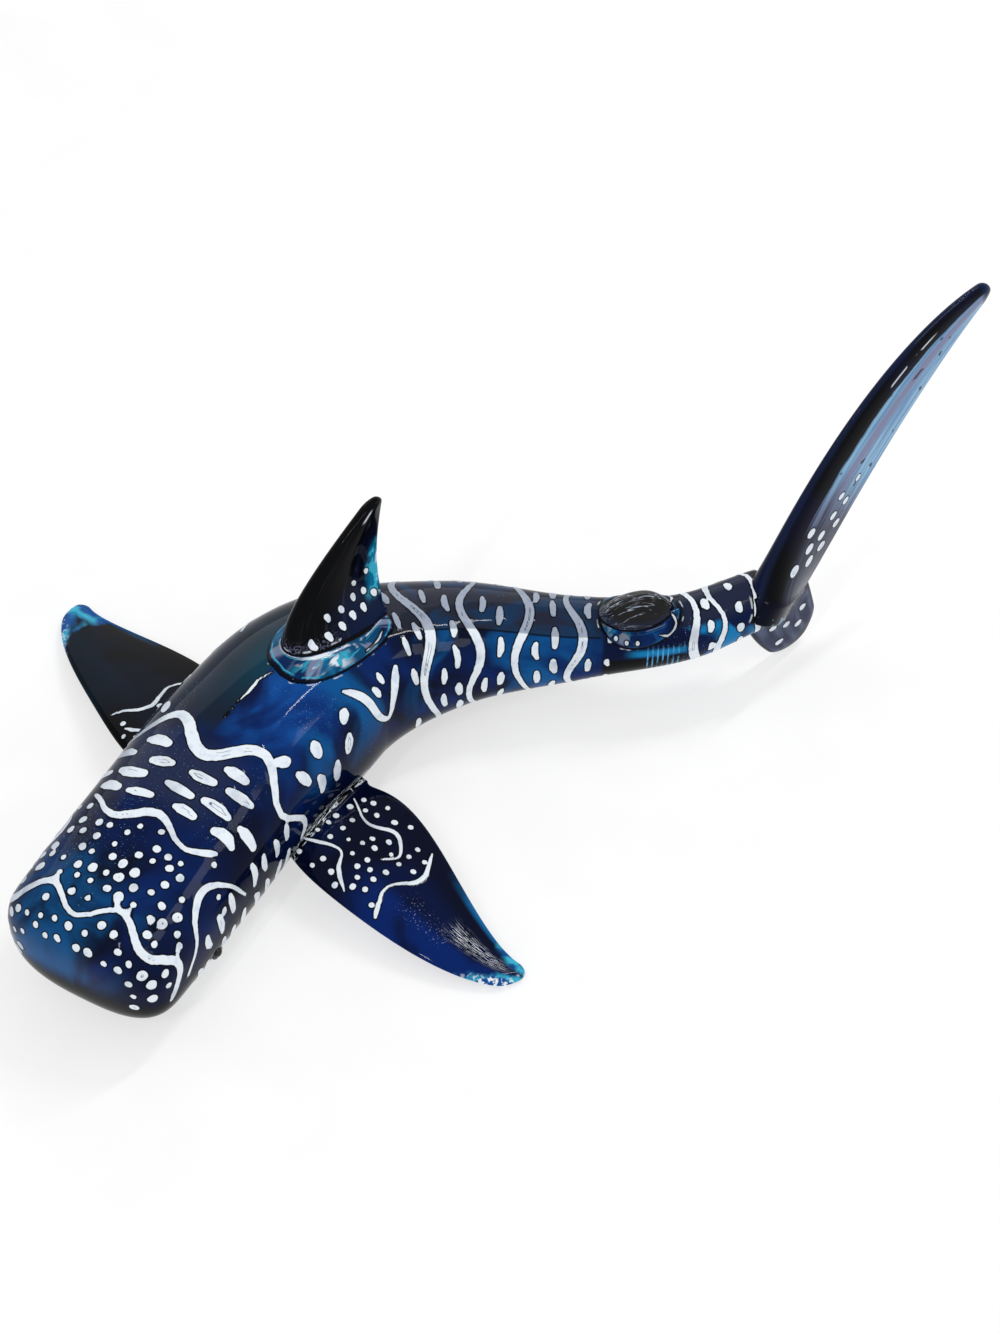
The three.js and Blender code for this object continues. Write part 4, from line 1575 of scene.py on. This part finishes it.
@dataclass(frozen=True)
class LensGlass:
    """Clear glass with soft patches, thin broken lines along the fin and round the rim, and painted
    highlights beside the fin and on the rim.

    Attributes:
        name: the material's name.
        middle: its colour in the middle.
        ends: its colour in front and at the rear.
        streak: colour of the patches across it.
        streaks: how strong those are.
        glint: how bright its lines are, and its painted highlights.
    """

    name: str
    middle: Colour
    ends: Colour
    streak: Colour
    streaks: float
    glint: float

    def coat(self) -> bpy.types.Material:
        """Lays the coats on.

        Returns:
            The material.
        """
        graph = Graph(self.name, self.middle)
        rise, band, times, patches, lay = graph.tools()
        vector, out, turn = graph.map("share")
        lay(self.ends, 0.6)
        lay(self.middle, patches(0.4, 0.6, 90, 3, 0.5, 0.8))
        end = graph.math("ABSOLUTE", graph.math("COSINE", times(turn, 2 * math.pi)))
        lay(self.ends, rise(times(end, out), 0.5, 0.85))
        patch = graph.noise(1, 2, 0.5, 0.3, at=graph.stretched(vector, (0.8, 14, 1)))
        lay(self.streak, rise(patch, 0.54, 0.62, self.streaks))
        wisp = times(band(turn, 0.52, 0.72, 0.05), band(out, 0.55, 0.93, 0.06), self.glint)
        wisp = times(wisp, patches(0.5, 0.58, 1, 3, at=graph.combed(14, (60, 300, 200))))
        lay(graph.mix(patches(0.45, 0.55, 240, 1), CYAN, WHITE), wisp)
        # lines that follow the fin, and a broad painted highlight beside them
        near = graph.measure("near")
        gap = graph.frayed(near, 0.9, 170)
        torn = patches(0.44, 0.52, 120, at=graph.shifted(3), top=self.glint)
        lay(CYAN, band(gap, 1.25, 1.5, 0.12), torn, 0.8)
        lay(WHITE, band(gap, 0.75, 0.95, 0.12), torn)
        lay(WHITE, band(turn, 0.51, 0.64, 0.04), band(gap, 0.8, 1.5, 0.2), 1.4 * (self.glint - 0.2))
        lay(INK, rise(near, 0.6, 0.4))
        # the rim: a dark line, and a painted cyan highlight inside it
        rim = graph.math("MULTIPLY_ADD", graph.noise(200), 0.06, out)
        lay(INK, rise(rim, 0.985, 1.0, 0.9))
        lay(CYAN, band(rim, 0.955, 0.975, 0.012), self.glint, rise(patch, 0.44, 0.5))
        return GLOSS.wear(graph, 0.35)


@dataclass(frozen=True)
class CapGlass:
    """Black glass combed lengthwise into fine ridges, with a painted highlight on their crests.

    Attributes:
        name: the material's name.
        heading: the way the comb went, in degrees.
    """

    name: str = "cap_glass"
    heading: float = -33

    def coat(self) -> bpy.types.Material:
        """Lays the coats on.

        Returns:
            The material.
        """
        graph = Graph(self.name, BLACK)
        comb = graph.noise(1, 2, 0.5, 0.6, at=graph.combed(self.heading, (45, 620, 150)))
        grit = graph.patches(0.4, 0.5, 1, 2, at=graph.combed(self.heading, (160, 600, 200)))
        # painted highlight along the crests of the ridges
        graph.lay(srgb(176, 188, 208), graph.band(comb, 0.535, 0.56, 0.01), grit, 0.85)
        graph.lay(srgb(5, 18, 50), graph.rise(graph.measure("near"), 2.2, 0.3), 0.8)
        return graph.finish(Roughness=0.18, IOR=1.3, Normal=graph.bump(comb, 0.6, 0.0012))


@dataclass(frozen=True)
class UpperLobeGlass:
    """The upper tail lobe: blue-black in front with a painted sheen along the front edge, sky-blue and lilac
    streaks along its rear half, and painted glints.
    """

    name: str = "upper_lobe_glass"

    def coat(self) -> bpy.types.Material:
        """Lays the coats on.

        Returns:
            The material.
        """
        graph = Graph(self.name, BLACK)
        rise, band, times, patches, lay = graph.tools()
        vector, out, back = graph.map("share")
        lay(srgb(7, 10, 36), patches(0.42, 0.66, 30))
        # painted sheen along the front edge
        lay(srgb(36, 52, 96), rise(back, -0.9, -0.99, 0.3))
        # the pale rear half, dimmer near the hub
        jagged = graph.stretched(vector, (11, 1.5, 1))
        line = graph.math("MULTIPLY_ADD", out, -0.15, graph.frayed(back, 0.16, 1, 3, 0.6, at=jagged))
        rear = times(rise(line, -0.6, -0.52), rise(graph.frayed(out, 0.16, 1, 3, 0.6, at=jagged), 0.17, 0.27))
        drift = graph.noise(1, 3, at=graph.stretched(vector, (2.5, 1, 1), 3))
        drift = graph.math("MULTIPLY_ADD", drift, 0.5, back)
        fine = graph.noise(1, 3, 0.65, 0.3, at=graph.stretched(vector, (2.2, 6, 1), 9))
        pale = graph.mix(rise(fine, 0.4, 0.6), srgb(92, 142, 188), srgb(142, 186, 216))
        pale = graph.mix(band(drift, 0.0, 0.4, 0.1, 0.9), pale, srgb(124, 128, 162))
        pale = graph.mix(rise(fine, 0.63, 0.68, 0.5), pale, srgb(58, 100, 150))
        dim = graph.mix(rise(fine, 0.42, 0.6, 0.7), srgb(34, 42, 70), srgb(122, 136, 172))
        lay(graph.mix(rise(out, 0.24, 0.42), dim, pale), rear)
        haze = graph.mix(rise(fine, 0.42, 0.66), srgb(32, 38, 62), srgb(74, 84, 118))
        lay(haze, rise(line, -0.6, 0.0), band(out, 0.0, 0.26, 0.06), 0.9)
        # specks, the dark tip, glints in front and at the hub
        lay(srgb(30, 44, 74), patches(0.74, 0.77, 260, 0), rear)
        lay(srgb(10, 28, 62), rise(out, 0.95, 0.975))
        shine = times(band(out, 0.62, 0.79, 0.02), band(back, -0.72, -0.67, 0.015))
        lay(srgb(214, 220, 232), shine, patches(0.42, 0.5, 160, top=0.9))
        torn = times(patches(0.62, 0.66, 150, 3, 0.6, 0.8), band(out, -0.1, 0.015, 0.012))
        lay(SKY, torn, rise(back, 0.2, -0.2), 0.8)
        add_rim(graph, 0.6)
        wave = graph.noise(1, 2, at=graph.stretched(vector, (3, 14, 1)))
        return GLOSS.wear(graph, Normal=graph.bump(wave, 0.2))


@dataclass(frozen=True)
class LowerLobeGlass:
    """The lower tail lobe: grey-blue glass with a dark curled rim."""

    name: str = "lower_lobe_glass"

    def coat(self) -> bpy.types.Material:
        """Lays the coats on.

        Returns:
            The material.
        """
        graph = Graph(self.name, srgb(34, 42, 72))
        rise, _, _, patches, lay = graph.tools()
        vector, out, back = graph.map("share")
        lay(srgb(84, 96, 124), patches(0.32, 0.68, 1, 2, 0.5, 0.5, at=graph.stretched(vector, (1.5, 2.5, 1))))
        lay(srgb(128, 134, 162), patches(0.55, 0.75, 60, top=0.5))
        rim = graph.math("MAXIMUM", rise(out, 0.8, 0.95), rise(graph.math("ABSOLUTE", back), 0.84, 0.97))
        lay(NIGHT, rim, 0.9)
        return GLOSS.wear(graph)


@dataclass(frozen=True)
class BeadGlass:
    """Opaque black glass of the eyes, with a faint grey wisp."""

    name: str = "bead_glass"

    def coat(self) -> bpy.types.Material:
        """Lays the coats on.

        Returns:
            The material.
        """
        graph = Graph(self.name, BLACK)
        graph.lay(srgb(30, 34, 44), graph.patches(0.6, 0.8, 700, top=0.3))
        return graph.finish(Roughness=0.05, IOR=1.4)


# Pieces


@dataclass
class Piece:
    """One piece of glass in the scene, and the solid that it stands for.

    Attributes:
        node: the solid's name in the part.
        slot: the kind of glass, which is not used.
        thing: the piece's own object.
    """

    node: str
    slot: str
    thing: bpy.types.Object

    def settle(self, material: bpy.types.Material) -> None:
        """Gives the piece its finish and its place in the part, and logs it.

        Args:
            material: the finish.
        """
        self.thing.data.materials.clear()
        self.thing.data.materials.append(material)
        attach(self.thing, "root")
        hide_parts(self.node)
        log.info("%s: %d faces", self.thing.name, len(self.thing.data.polygons))


def shift_to_frame(skin: Skin, node: str) -> np.ndarray:
    """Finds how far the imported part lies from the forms' own origin.

    Args:
        skin: a piece's skin, about that origin.
        node: the solid that it dresses.

    Returns:
        The way from the one to the other, level with the floor.
    """
    low, high = (np.array(corner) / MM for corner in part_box(node))
    own_low, own_high = skin.points.reshape(-1, 3).min(0), skin.points.reshape(-1, 3).max(0)
    shift = (low + high - own_low - own_high) / 2
    shift[2] = 0
    return shift


@dataclass
class BlownBody:
    """The blown body and its drawing.

    Attributes:
        rings: rings behind the snout's rounding.
        sides: sides of a ring.
        nose_rings: rings of the rounding.
        seed: starts the hand that draws.
    """

    rings: int = 350
    sides: int = 244
    nose_rings: int = 50
    seed: int = 11

    def draw(self, marks: Marks) -> None:
        """Draws the whole body, from the snout to the stem.

        Args:
            marks: the drawing to fill.
        """
        self._head(marks)
        self._trunk(marks)
        self._rear(marks)
        self._stem(marks)

    def _head(self, marks: Marks) -> None:
        """A garland over the snout, spots behind it, then bars and a bold garland behind those.

        Args:
            marks: the drawing to fill.
        """
        hand = marks.hand
        marks.wave(31, 52, 4, 29, 2.4, 150)
        cheek = ((36, 52), (44, 44), (50, 34), (59, 31), (67, 37), (74, 50))
        for side in (-1, 1):
            marks.line([(along, side * around) for along, around in cheek], 2.2)
            for along in np.arange(44, 104, 7.2):
                for around in (48, 62, 76):
                    if marks.free(along, side * around, 3.2):
                        ahead = along + hand.normal(0, 0.6)
                        aside = side * (around + hand.normal(0, 1))
                        marks.dash(ahead, aside, hand.uniform(9, 13), 3.3)
        marks.wave(70, 27, 3.5, 30, 2.6, 20)
        marks.wave(108, 62, 6, 36, 3.5, 200)
        marks.fill(np.arange(78, 102, 7.6), 42, 17, (13.5, 4.1), 2.9)
        gap = 6.0
        for row, along in enumerate(np.arange(17, 68, 5.6)):
            for around in np.arange(-44, 45, gap):
                around += (row % 2) * gap / 2 + hand.normal(0, 0.7)
                ahead = along + hand.normal(0, 0.7)
                if marks.free(ahead, around, 2.1) and hand.random() > 0.1:
                    marks.spot(ahead, around, hand.choice([2.2, 2.8, 3.5], p=[0.3, 0.45, 0.25]))

    def _trunk(self, marks: Marks) -> None:
        """A fan of large drops beside each pectoral fin, and bent lines beside the first foot.

        Args:
            marks: the drawing to fill.
        """
        marks.line([(145, -1.5), (139, 0.3), (133, -0.2), (127, 0.4)], 0.9, 0.3)
        for along in (124, 121.5, 119.5):
            marks.dash(along, 0.3, 1.2, 0.7, 0)
        fan = (
            *((117, 27, 9, 4.4, 40), (120, 38, 11, 4.4, 62), (128, 47, 11, 4.4, 80)),
            *((138, 49, 11, 4.4, 100), (147, 43, 10, 4.4, 122), (151, 33, 8, 4.4, 142)),
            (133, 34, 9, 5.0, 95),
        )
        bent = ((158, 26), (166, 33), (172, 43), (182, 45), (189, 36), (195, 25))
        inner = ((177, 33, 7, 3.0, 40), (184, 28, 6, 2.6, 60))
        for side in (-1, 1):
            for along, around, length, width, heading in fan:
                marks.dash(along, side * around, length, width, side * heading)
            marks.line([(along, side * around) for along, around in bent], 2.8)
            for along, around, length, width, heading in inner:
                marks.dash(along, side * around, length, width, side * heading)

    def _rear(self, marks: Marks) -> None:
        """Lines across the back with rows of dashes between them, which grow finer towards the stem.

        Args:
            marks: the drawing to fill.
        """
        for wave in (
            (212, 62, 4, 46, 3.1, 90),
            (234, 56, 3.5, 38, 2.6, 200),
            (255, 50, 3, 42, 2.6, 20),
            (275, 44, 3, 36, 2.6, 120),
        ):
            marks.wave(*wave)
        marks.fill(np.arange(204, 283, 7.0), 54, 12.0, (9.0, 2.8), 2.3)

    def _stem(self, marks: Marks) -> None:
        """Bent bars and oval spots round the stem behind the second foot.

        Args:
            marks: the drawing to fill.
        """
        marks.fill((288,), 40, 9.0, (4.2, 2.4), 2.0)
        marks.wave(319.5, 36, 1.2, 30, 2.9, 40)
        marks.wave(328.5, 34, 1.4, 26, 2.4, 160)
        marks.wave(344, 30, 0.8, 30, 2.2, 0)
        marks.fill((324, 336), 30, 9.0, (6.2, 3.1), 1.9)

    def build(self) -> tuple[bpy.types.Object, np.ndarray]:
        """Builds and draws the body.

        Returns:
            The piece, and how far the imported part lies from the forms' own origin.
        """
        skin = body_skin("blown_body", self.rings, self.sides, self.nose_rings)
        shift = shift_to_frame(skin, "body")
        thing = skin.build(shift)
        marks = Marks(skin.at, self.seed)
        self.draw(marks)
        marks.draw(thing)
        return thing, shift


@dataclass
class Fin:
    """A fin of any kind, with its drawing.

    Attributes:
        name: the piece's name.
        form: the fin's form.
        shift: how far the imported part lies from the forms' own origin.
        rings: rings up to the tip's rounding.
        sides: sides of a ring.
        seed: starts the hand that draws.
        margin: the cosine of the angle that the drawing keeps from the front and rear edge.
    """

    name: str
    form: FinForm
    shift: np.ndarray
    rings: int
    sides: int
    seed: int
    margin: float = 0.98

    def place(self, face: int) -> Callable[[float, float], np.ndarray]:
        """Makes the call that finds a point of one face.

        Args:
            face: 1 or -1.

        Returns:
            A call that takes the way out from the seat and the way back from the middle.
        """

        def at(out: float, back: float) -> np.ndarray:
            """Finds a point of the face.

            Args:
                out: the way out.
                back: the way back.

            Returns:
                The point.
            """
            half = float(self.form.sizes(np.array(out))[0]) / 2
            angle = face * math.acos(max(-self.margin, min(self.margin, back / half)))
            return self.form.point(out, angle) + self.shift

        return at

    def build(self, draw: Optional[Callable[[Marks], None]] = None) -> bpy.types.Object:
        """Builds the fin and draws on both of its faces.

        Args:
            draw: fills a drawing, or nothing on a bare fin.

        Returns:
            The piece.
        """
        thing = fin_skin(self.name, self.form, self.rings, self.sides).build(self.shift)
        if draw:
            both = Marks(self.place(1), self.seed)
            draw(both)
            other = Marks(self.place(-1), self.seed + 1)
            draw(other)
            both.strokes += other.strokes
            both.draw(thing)
        return thing


def draw_pectoral(marks: Marks, form: FinForm, reach: float) -> None:
    """Thin winding lines and spots between them on the inner part of a pectoral fin.

    Args:
        marks: the drawing to fill.
        form: the fin's form.
        reach: how far out the drawing goes.
    """
    hand = marks.hand

    def half(out: float) -> float:
        """Half the fin's chord, less a margin."""
        return float(form.chord(np.array(out / form.span))) / 2 - 3.5

    across = np.linspace(-half(reach), half(reach), 9)
    edge = [(reach + 3.0 * math.sin(back / 4.2), back) for back in across]
    marks.line(edge, 1.4)
    marks.line([(4, -14), (reach * 0.4, -9), (reach * 0.52, -15), (reach * 0.7, -19)], 1.3)
    marks.line([(3, 12), (reach * 0.35, 7), (reach * 0.6, 12), (reach * 0.78, 6), (reach * 0.7, 0)], 1.3)
    gap = 5.4
    for row, out in enumerate(np.arange(5, reach, 5.0)):
        for back in np.arange(-half(out), half(out), gap):
            back += (row % 2) * gap / 2 + hand.normal(0, 0.6)
            if marks.free(out, back, 1.5) and hand.random() > 0.12:
                marks.spot(out + hand.normal(0, 0.7), back, hand.uniform(1.7, 2.5))


def draw_dorsal(marks: Marks) -> None:
    """Slanted oval spots low on the fin.

    Args:
        marks: the drawing to fill.
    """
    hand = marks.hand
    for out, low, high, length in ((7, -14, 19, 5.4), (13, -7, 17, 5.0), (19, 5, 15, 4.2)):
        for back in np.arange(low, high, 6.4):
            place = (out + hand.normal(0, 0.5), back + hand.normal(0, 0.5))
            marks.dash(*place, length, length * 0.5, hand.normal(-35, 6))


def draw_upper_lobe(marks: Marks) -> None:
    """Large oval spots near the hub, loosely set.

    Args:
        marks: the drawing to fill.
    """
    hand = marks.hand
    near = ((14, -5), (17, 5), (22, -1), (23, 9), (29, 3), (30, -6))
    far = ((34, 11), (37, 5), (44, 9), (46, 2), (54, 8))
    for out, back in near + far:
        size = lerp(5.0, 2.9, (out - 14) / 40)
        place = (out + hand.normal(0, 0.5), back + hand.normal(0, 0.5))
        marks.dash(*place, size * 1.3, size, hand.normal(20, 12))


def draw_lower_lobe(marks: Marks) -> None:
    """A few oval spots on the upper half of the leaf.

    Args:
        marks: the drawing to fill.
    """
    hand = marks.hand
    for out, back in ((14, -8), (15, 3), (21, -2), (22, 8), (27, -8), (29, 3)):
        marks.dash(out + hand.normal(0, 0.4), back + hand.normal(0, 0.4), 5.2, 2.9, hand.normal(50, 12))


@dataclass
class Lens:
    """The lens of glass under a fin on the ridge, with its drawing.

    Attributes:
        name: the piece's name.
        sizes: the lens's sizes.
        shift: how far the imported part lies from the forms' own origin.
        seed: starts the hand that draws.
        margin: the share of its radius that the drawing stays within.
    """

    name: str
    sizes: FootSizes
    shift: np.ndarray
    seed: int
    margin: float = 0.98

    def place(self, ahead: float, aside: float) -> np.ndarray:
        """Finds a point of the lens.

        Args:
            ahead: the way ahead of its middle.
            aside: the way to the left of it.

        Returns:
            The point.
        """
        sizes = self.sizes
        radius = min(self.margin, math.hypot(2 * ahead / sizes.length, 2 * aside / sizes.width))
        height = sizes.proud * math.sqrt(1 - radius**2)
        turn = math.pi / 2 + (sizes.lean + aside) / sizes.curve
        return BODY.point(sizes.seat - ahead, turn, height) + self.shift

    def build(self, draw: Callable[[Marks], None]) -> bpy.types.Object:
        """Builds the lens.

        Args:
            draw: fills its drawing.

        Returns:
            The piece.
        """
        thing = foot_skin(self.name, self.sizes).build(self.shift)
        marks = Marks(self.place, self.seed)
        draw(marks)
        marks.draw(thing)
        return thing


def draw_first_lens(marks: Marks) -> None:
    """A thin broken line low on each side."""
    for side in (-1, 1):
        marks.line([(-22, side * 4.5), (-17, side * 8.4), (-9, side * 11.0)], 0.6)


def draw_second_lens(marks: Marks) -> None:
    """A few small ovals in front and a curl behind the cap.

    Args:
        marks: the drawing to fill.
    """
    for side in (-1, 1):
        marks.line([(-7, side * 9.4), (-10.5, side * 10.2), (-13, side * 6), (-12, side * 2.5)], 1.0)
        for ahead, aside in ((9, 9.0), (5, 11.0), (1, 11.6)):
            marks.dash(ahead, side * aside, 2.6, 1.5)


@dataclass
class EyeBead:
    """A bead of black glass set in the head, in a low collar.

    Attributes:
        side: which of the two.
        shift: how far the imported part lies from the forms' own origin.
        seat: along the back, from the snout.
        angle: where on the flank it sits, in degrees above level.
        diameter: the bead's.
        proud: how far it stands out of the head.
        collar: the thickness of the collar.
        sunk: how deep the collar's middle lies in the head, and how far outside the bead.
    """

    side: Side
    shift: np.ndarray
    seat: float = 38
    angle: float = -20
    diameter: float = 4.6
    proud: float = 1.6
    collar: float = 1.1
    sunk: float = 0.15

    def build(self) -> bpy.types.Object:
        """Builds the bead and its collar as one piece.

        Returns:
            The piece.
        """
        radius = self.diameter / 2
        outward = BODY.axes(self.seat)[2] * self.side.value
        surface = BODY.flank(self.seat, self.angle, self.side) + self.shift
        middle = surface + outward * (self.proud - radius)
        bpy.ops.object.select_all(action="DESELECT")
        bpy.ops.mesh.primitive_uv_sphere_add(
            segments=48, ring_count=24, radius=radius * MM, location=middle * MM
        )
        bead = bpy.context.object
        bead.name = bead.data.name = f"{self.side.name.lower()}_eye_bead"
        bpy.ops.object.transform_apply(location=True, rotation=True, scale=True)
        bpy.ops.object.select_all(action="DESELECT")
        turn = Vector(outward).to_track_quat("Z", "Y").to_euler()
        bpy.ops.mesh.primitive_torus_add(
            major_segments=64,
            minor_segments=16,
            major_radius=(radius + self.sunk) * MM,
            minor_radius=self.collar / 2 * MM,
            location=(surface - outward * self.sunk) * MM,
            rotation=turn,
        )
        collar = bpy.context.object
        bpy.ops.object.transform_apply(location=True, rotation=True, scale=True)
        bead.select_set(True)
        collar.select_set(True)
        bpy.context.view_layer.objects.active = bead
        bpy.ops.object.join()
        bpy.ops.object.shade_smooth()
        return bead


# Floor, lamps and camera


@dataclass(frozen=True)
class Lamp:
    """A rectangular soft box.

    Attributes:
        name: its name.
        place: where it hangs, in metres.
        target: what it faces.
        width: its size from side to side.
        height: its size from top to bottom.
        power: in watts.
        mirrored_only: whether it shows only as a reflection on the glass.
    """

    name: str
    place: tuple[float, float, float]
    target: tuple[float, float, float]
    width: float
    height: float
    power: float
    mirrored_only: bool = False


@dataclass
class Studio:
    """The white floor, the soft boxes and the camera that looks down from the left and ahead.

    Attributes:
        azimuth: degrees from the shark's left side, less than nought being ahead of it.
        elevation: how high it stands, in degrees.
        distance: how far from its target, in metres.
        focal_pixels: the photograph's focal length, in its own pixels.
        frame_height: the photograph's height, in pixels.
        target: what the camera looks at, in metres.
        sky: how much light comes from all round.
        lamps: the soft boxes.
    """

    azimuth: float = -33.8
    elevation: float = 48
    distance: float = 0.95
    focal_pixels: float = 2375
    frame_height: float = 1333
    target: tuple[float, float, float] = (0.01701, 0.0039, 0.0)
    sky: float = 0.72
    lamps: tuple[Lamp, ...] = (
        Lamp("key", (0.75, 0.1, 1.2), (0, 0, 0.03), width=0.04, height=0.5, power=5),
        Lamp("fill", (-0.9, -0.5, 1.2), (-0.05, 0, 0.03), width=0.04, height=0.4, power=3),
        Lamp(
            "back box", (0.35, 0.95, 0.6), (0, 0, 0.03),
            width=1.6, height=0.7, power=6, mirrored_only=True,
        ),
        Lamp(
            "side box", (0.55, -0.75, 1.05), (0, 0, 0.03),
            width=0.7, height=0.35, power=6, mirrored_only=True,
        ),
    )

    def floor(self) -> None:
        """A wide white floor that keeps the shark's shadow."""
        bpy.ops.object.select_all(action="DESELECT")
        bpy.ops.mesh.primitive_plane_add(size=12, location=(0, 0, 0))
        floor = bpy.context.object
        floor.name = "floor"
        graph = Graph("floor_paper", srgb(170, 170, 171))
        graph.lay(srgb(174, 174, 174), graph.patches(0.3, 0.7, 30))
        white = {"Emission_Color": (1.0, 1.0, 1.0, 1.0), "Emission_Strength": 0.6}
        floor.data.materials.append(graph.finish(Roughness=0.9, IOR=1.0, **white))

    def light(self) -> None:
        """The white surroundings and the soft boxes."""
        world = bpy.data.worlds.new("surroundings")
        bpy.context.scene.world = world
        world.use_nodes = True
        nodes = Nodes(world.node_tree)
        rays = nodes.node("LightPath", {})
        seen = nodes.math("ADD", rays["Is Camera Ray"], rays["Is Glossy Ray"], clamp=True)
        seen = nodes.math("ADD", seen, rays["Is Transmission Ray"], clamp=True)
        strength = nodes.node("MapRange", {"Value": seen, "To Min": self.sky, "To Max": 1.0})[0]
        sky = nodes.node("Background", {"Color": (1, 1, 1, 1), "Strength": strength})[0]
        nodes.node("OutputWorld", {"Surface": sky})
        for lamp in self.lamps:
            data = bpy.data.lights.new(lamp.name, "AREA")
            data.shape, data.size, data.size_y = "RECTANGLE", lamp.width, lamp.height
            data.energy = lamp.power
            thing = bpy.data.objects.new(lamp.name, data)
            bpy.context.scene.collection.objects.link(thing)
            thing.location = lamp.place
            ray = Vector(lamp.target) - Vector(lamp.place)
            thing.rotation_euler = ray.to_track_quat("-Z", "Y").to_euler()
            thing.visible_diffuse = not lamp.mirrored_only

    def camera(self) -> None:
        """The camera at the photograph's viewing angle."""
        data = bpy.data.cameras.new("view")
        data.sensor_width = 36
        data.lens = self.focal_pixels / self.frame_height * data.sensor_width
        camera = bpy.data.objects.new("view", data)
        bpy.context.scene.collection.objects.link(camera)
        around, above = math.radians(self.azimuth), math.radians(self.elevation)
        level = math.cos(above)
        back = Vector((math.sin(around) * level, -math.cos(around) * level, math.sin(above)))
        camera.location = Vector(self.target) + back * self.distance
        camera.rotation_euler = back.to_track_quat("Z", "Y").to_euler()
        bpy.context.scene.camera = camera

    def build(self) -> None:
        """Sets up everything round the shark."""
        bpy.context.scene.view_settings.view_transform = "Standard"
        self.floor()
        self.light()
        self.camera()


# The whole


def build_fins(shift: np.ndarray) -> list[bpy.types.Object]:
    """Builds the fins and the tail lobes.

    Args:
        shift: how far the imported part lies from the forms' own origin.

    Returns:
        The left and right pectoral fin, the first and second dorsal fin, the upper and lower lobe.
    """
    left = pectoral_form(PectoralSizes(Side.LEFT, span=96, sweep=-9, crossing=0.32))
    right = pectoral_form(PectoralSizes(Side.RIGHT, span=99, sweep=22, crossing=0.64))
    dorsal = RidgeSizes(
        seat=158, span=50, rake=25.5, chords=(43, 48, 6), thickness=(17, 6), lean=6.5, fade=5, spread=16
    )
    cap = RidgeSizes(
        seat=279.5, span=10.5, rake=3, chords=(27, 27, 14), thickness=(16, 9), lean=1.5, edge=14
    )
    # name, form, rings, sides, the hand's seed and the drawing
    rows = (
        ("left_pectoral_blade", left, 150, 200, 21, partial(draw_pectoral, form=left, reach=42)),
        ("right_pectoral_blade", right, 150, 200, 31, partial(draw_pectoral, form=right, reach=25)),
        ("first_dorsal_blade", ridge_form(dorsal), 110, 190, 41, draw_dorsal),
        ("second_dorsal_cap", ridge_form(cap), 50, 140, 51, None),
        ("upper_tail_blade", upper_lobe_form(), 230, 150, 61, draw_upper_lobe),
        ("lower_tail_leaf", lower_lobe_form(), 80, 130, 71, draw_lower_lobe),
    )
    return [
        Fin(name, form, shift, rings, sides, seed).build(draw)
        for name, form, rings, sides, seed, draw in rows
    ]


def build_lenses(shift: np.ndarray) -> list[bpy.types.Object]:
    """Builds the lenses under the dorsal fins.

    Args:
        shift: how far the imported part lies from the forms' own origin.

    Returns:
        The first and the second lens.
    """
    first = FootSizes(seat=155, length=56, width=27, lean=5, proud=4)
    second = FootSizes(seat=280, length=31, width=28, lean=2, proud=2.4)
    return [
        Lens("first_dorsal_lens", first, shift, seed=81).build(draw_first_lens),
        Lens("second_dorsal_lens", second, shift, seed=91).build(draw_second_lens),
    ]


def main() -> None:
    """Builds every piece in order, then the studio."""
    logging.basicConfig(level=logging.INFO, format="%(name)s: %(message)s")
    body, shift = BlownBody().build()
    left, right, dorsal, cap, upper, lower = build_fins(shift)
    first_lens, second_lens = build_lenses(shift)
    write_nearness(body, [left, right])
    write_nearness(body, [first_lens, second_lens, upper], "rim")
    for piece in (left, right, upper):
        write_nearness(piece, [body])
    for fin, lens in ((dorsal, first_lens), (cap, second_lens)):
        write_nearness(fin, [lens])
        write_nearness(lens, [fin])
    left_blues = (srgb(3, 9, 34), srgb(3, 18, 58), srgb(2, 34, 100))
    right_blues = (BLACK, srgb(8, 14, 30), srgb(6, 30, 46))
    left_glass = PectoralGlass(
        "left_pectoral_glass", *left_blues, glow=1.0, sparkle=1.0, fleck=240, tip_start=0.87, shine=0.5
    )
    right_glass = PectoralGlass(
        "right_pectoral_glass", *right_blues, glow=0.45, sparkle=0.0, fleck=105, tip_start=0.8, shine=0.25
    )
    teals = (srgb(14, 100, 142), srgb(6, 36, 82), srgb(128, 134, 162))
    teal = LensGlass("first_lens_glass", *teals, streaks=0.85, glint=0.9)
    darks = (srgb(4, 44, 104), srgb(4, 12, 40), srgb(8, 84, 146))
    dark = LensGlass("second_lens_glass", *darks, streaks=0.5, glint=0.2)
    for node, slot, thing, material in (
        ("body", "body_glass", body, BodyGlass().coat()),
        ("left_pectoral_fin", "fin_glass", left, left_glass.coat()),
        ("right_pectoral_fin", "fin_glass", right, right_glass.coat()),
        ("first_dorsal_foot", "foot_glass", first_lens, teal.coat()),
        ("first_dorsal_fin", "fin_glass", dorsal, DorsalGlass().coat()),
        ("second_dorsal_foot", "foot_glass", second_lens, dark.coat()),
        ("second_dorsal_fin", "black_glass", cap, CapGlass().coat()),
        ("upper_tail_lobe", "tail_glass", upper, UpperLobeGlass().coat()),
        ("lower_tail_lobe", "tail_glass", lower, LowerLobeGlass().coat()),
    ):
        Piece(node, slot, thing).settle(material)
    bead = BeadGlass().coat()
    for side in Side:
        Piece(f"{side.name.lower()}_eye", "black_glass", EyeBead(side, shift).build()).settle(bead)
    Studio().build()


if __name__ == "__main__":
    main()
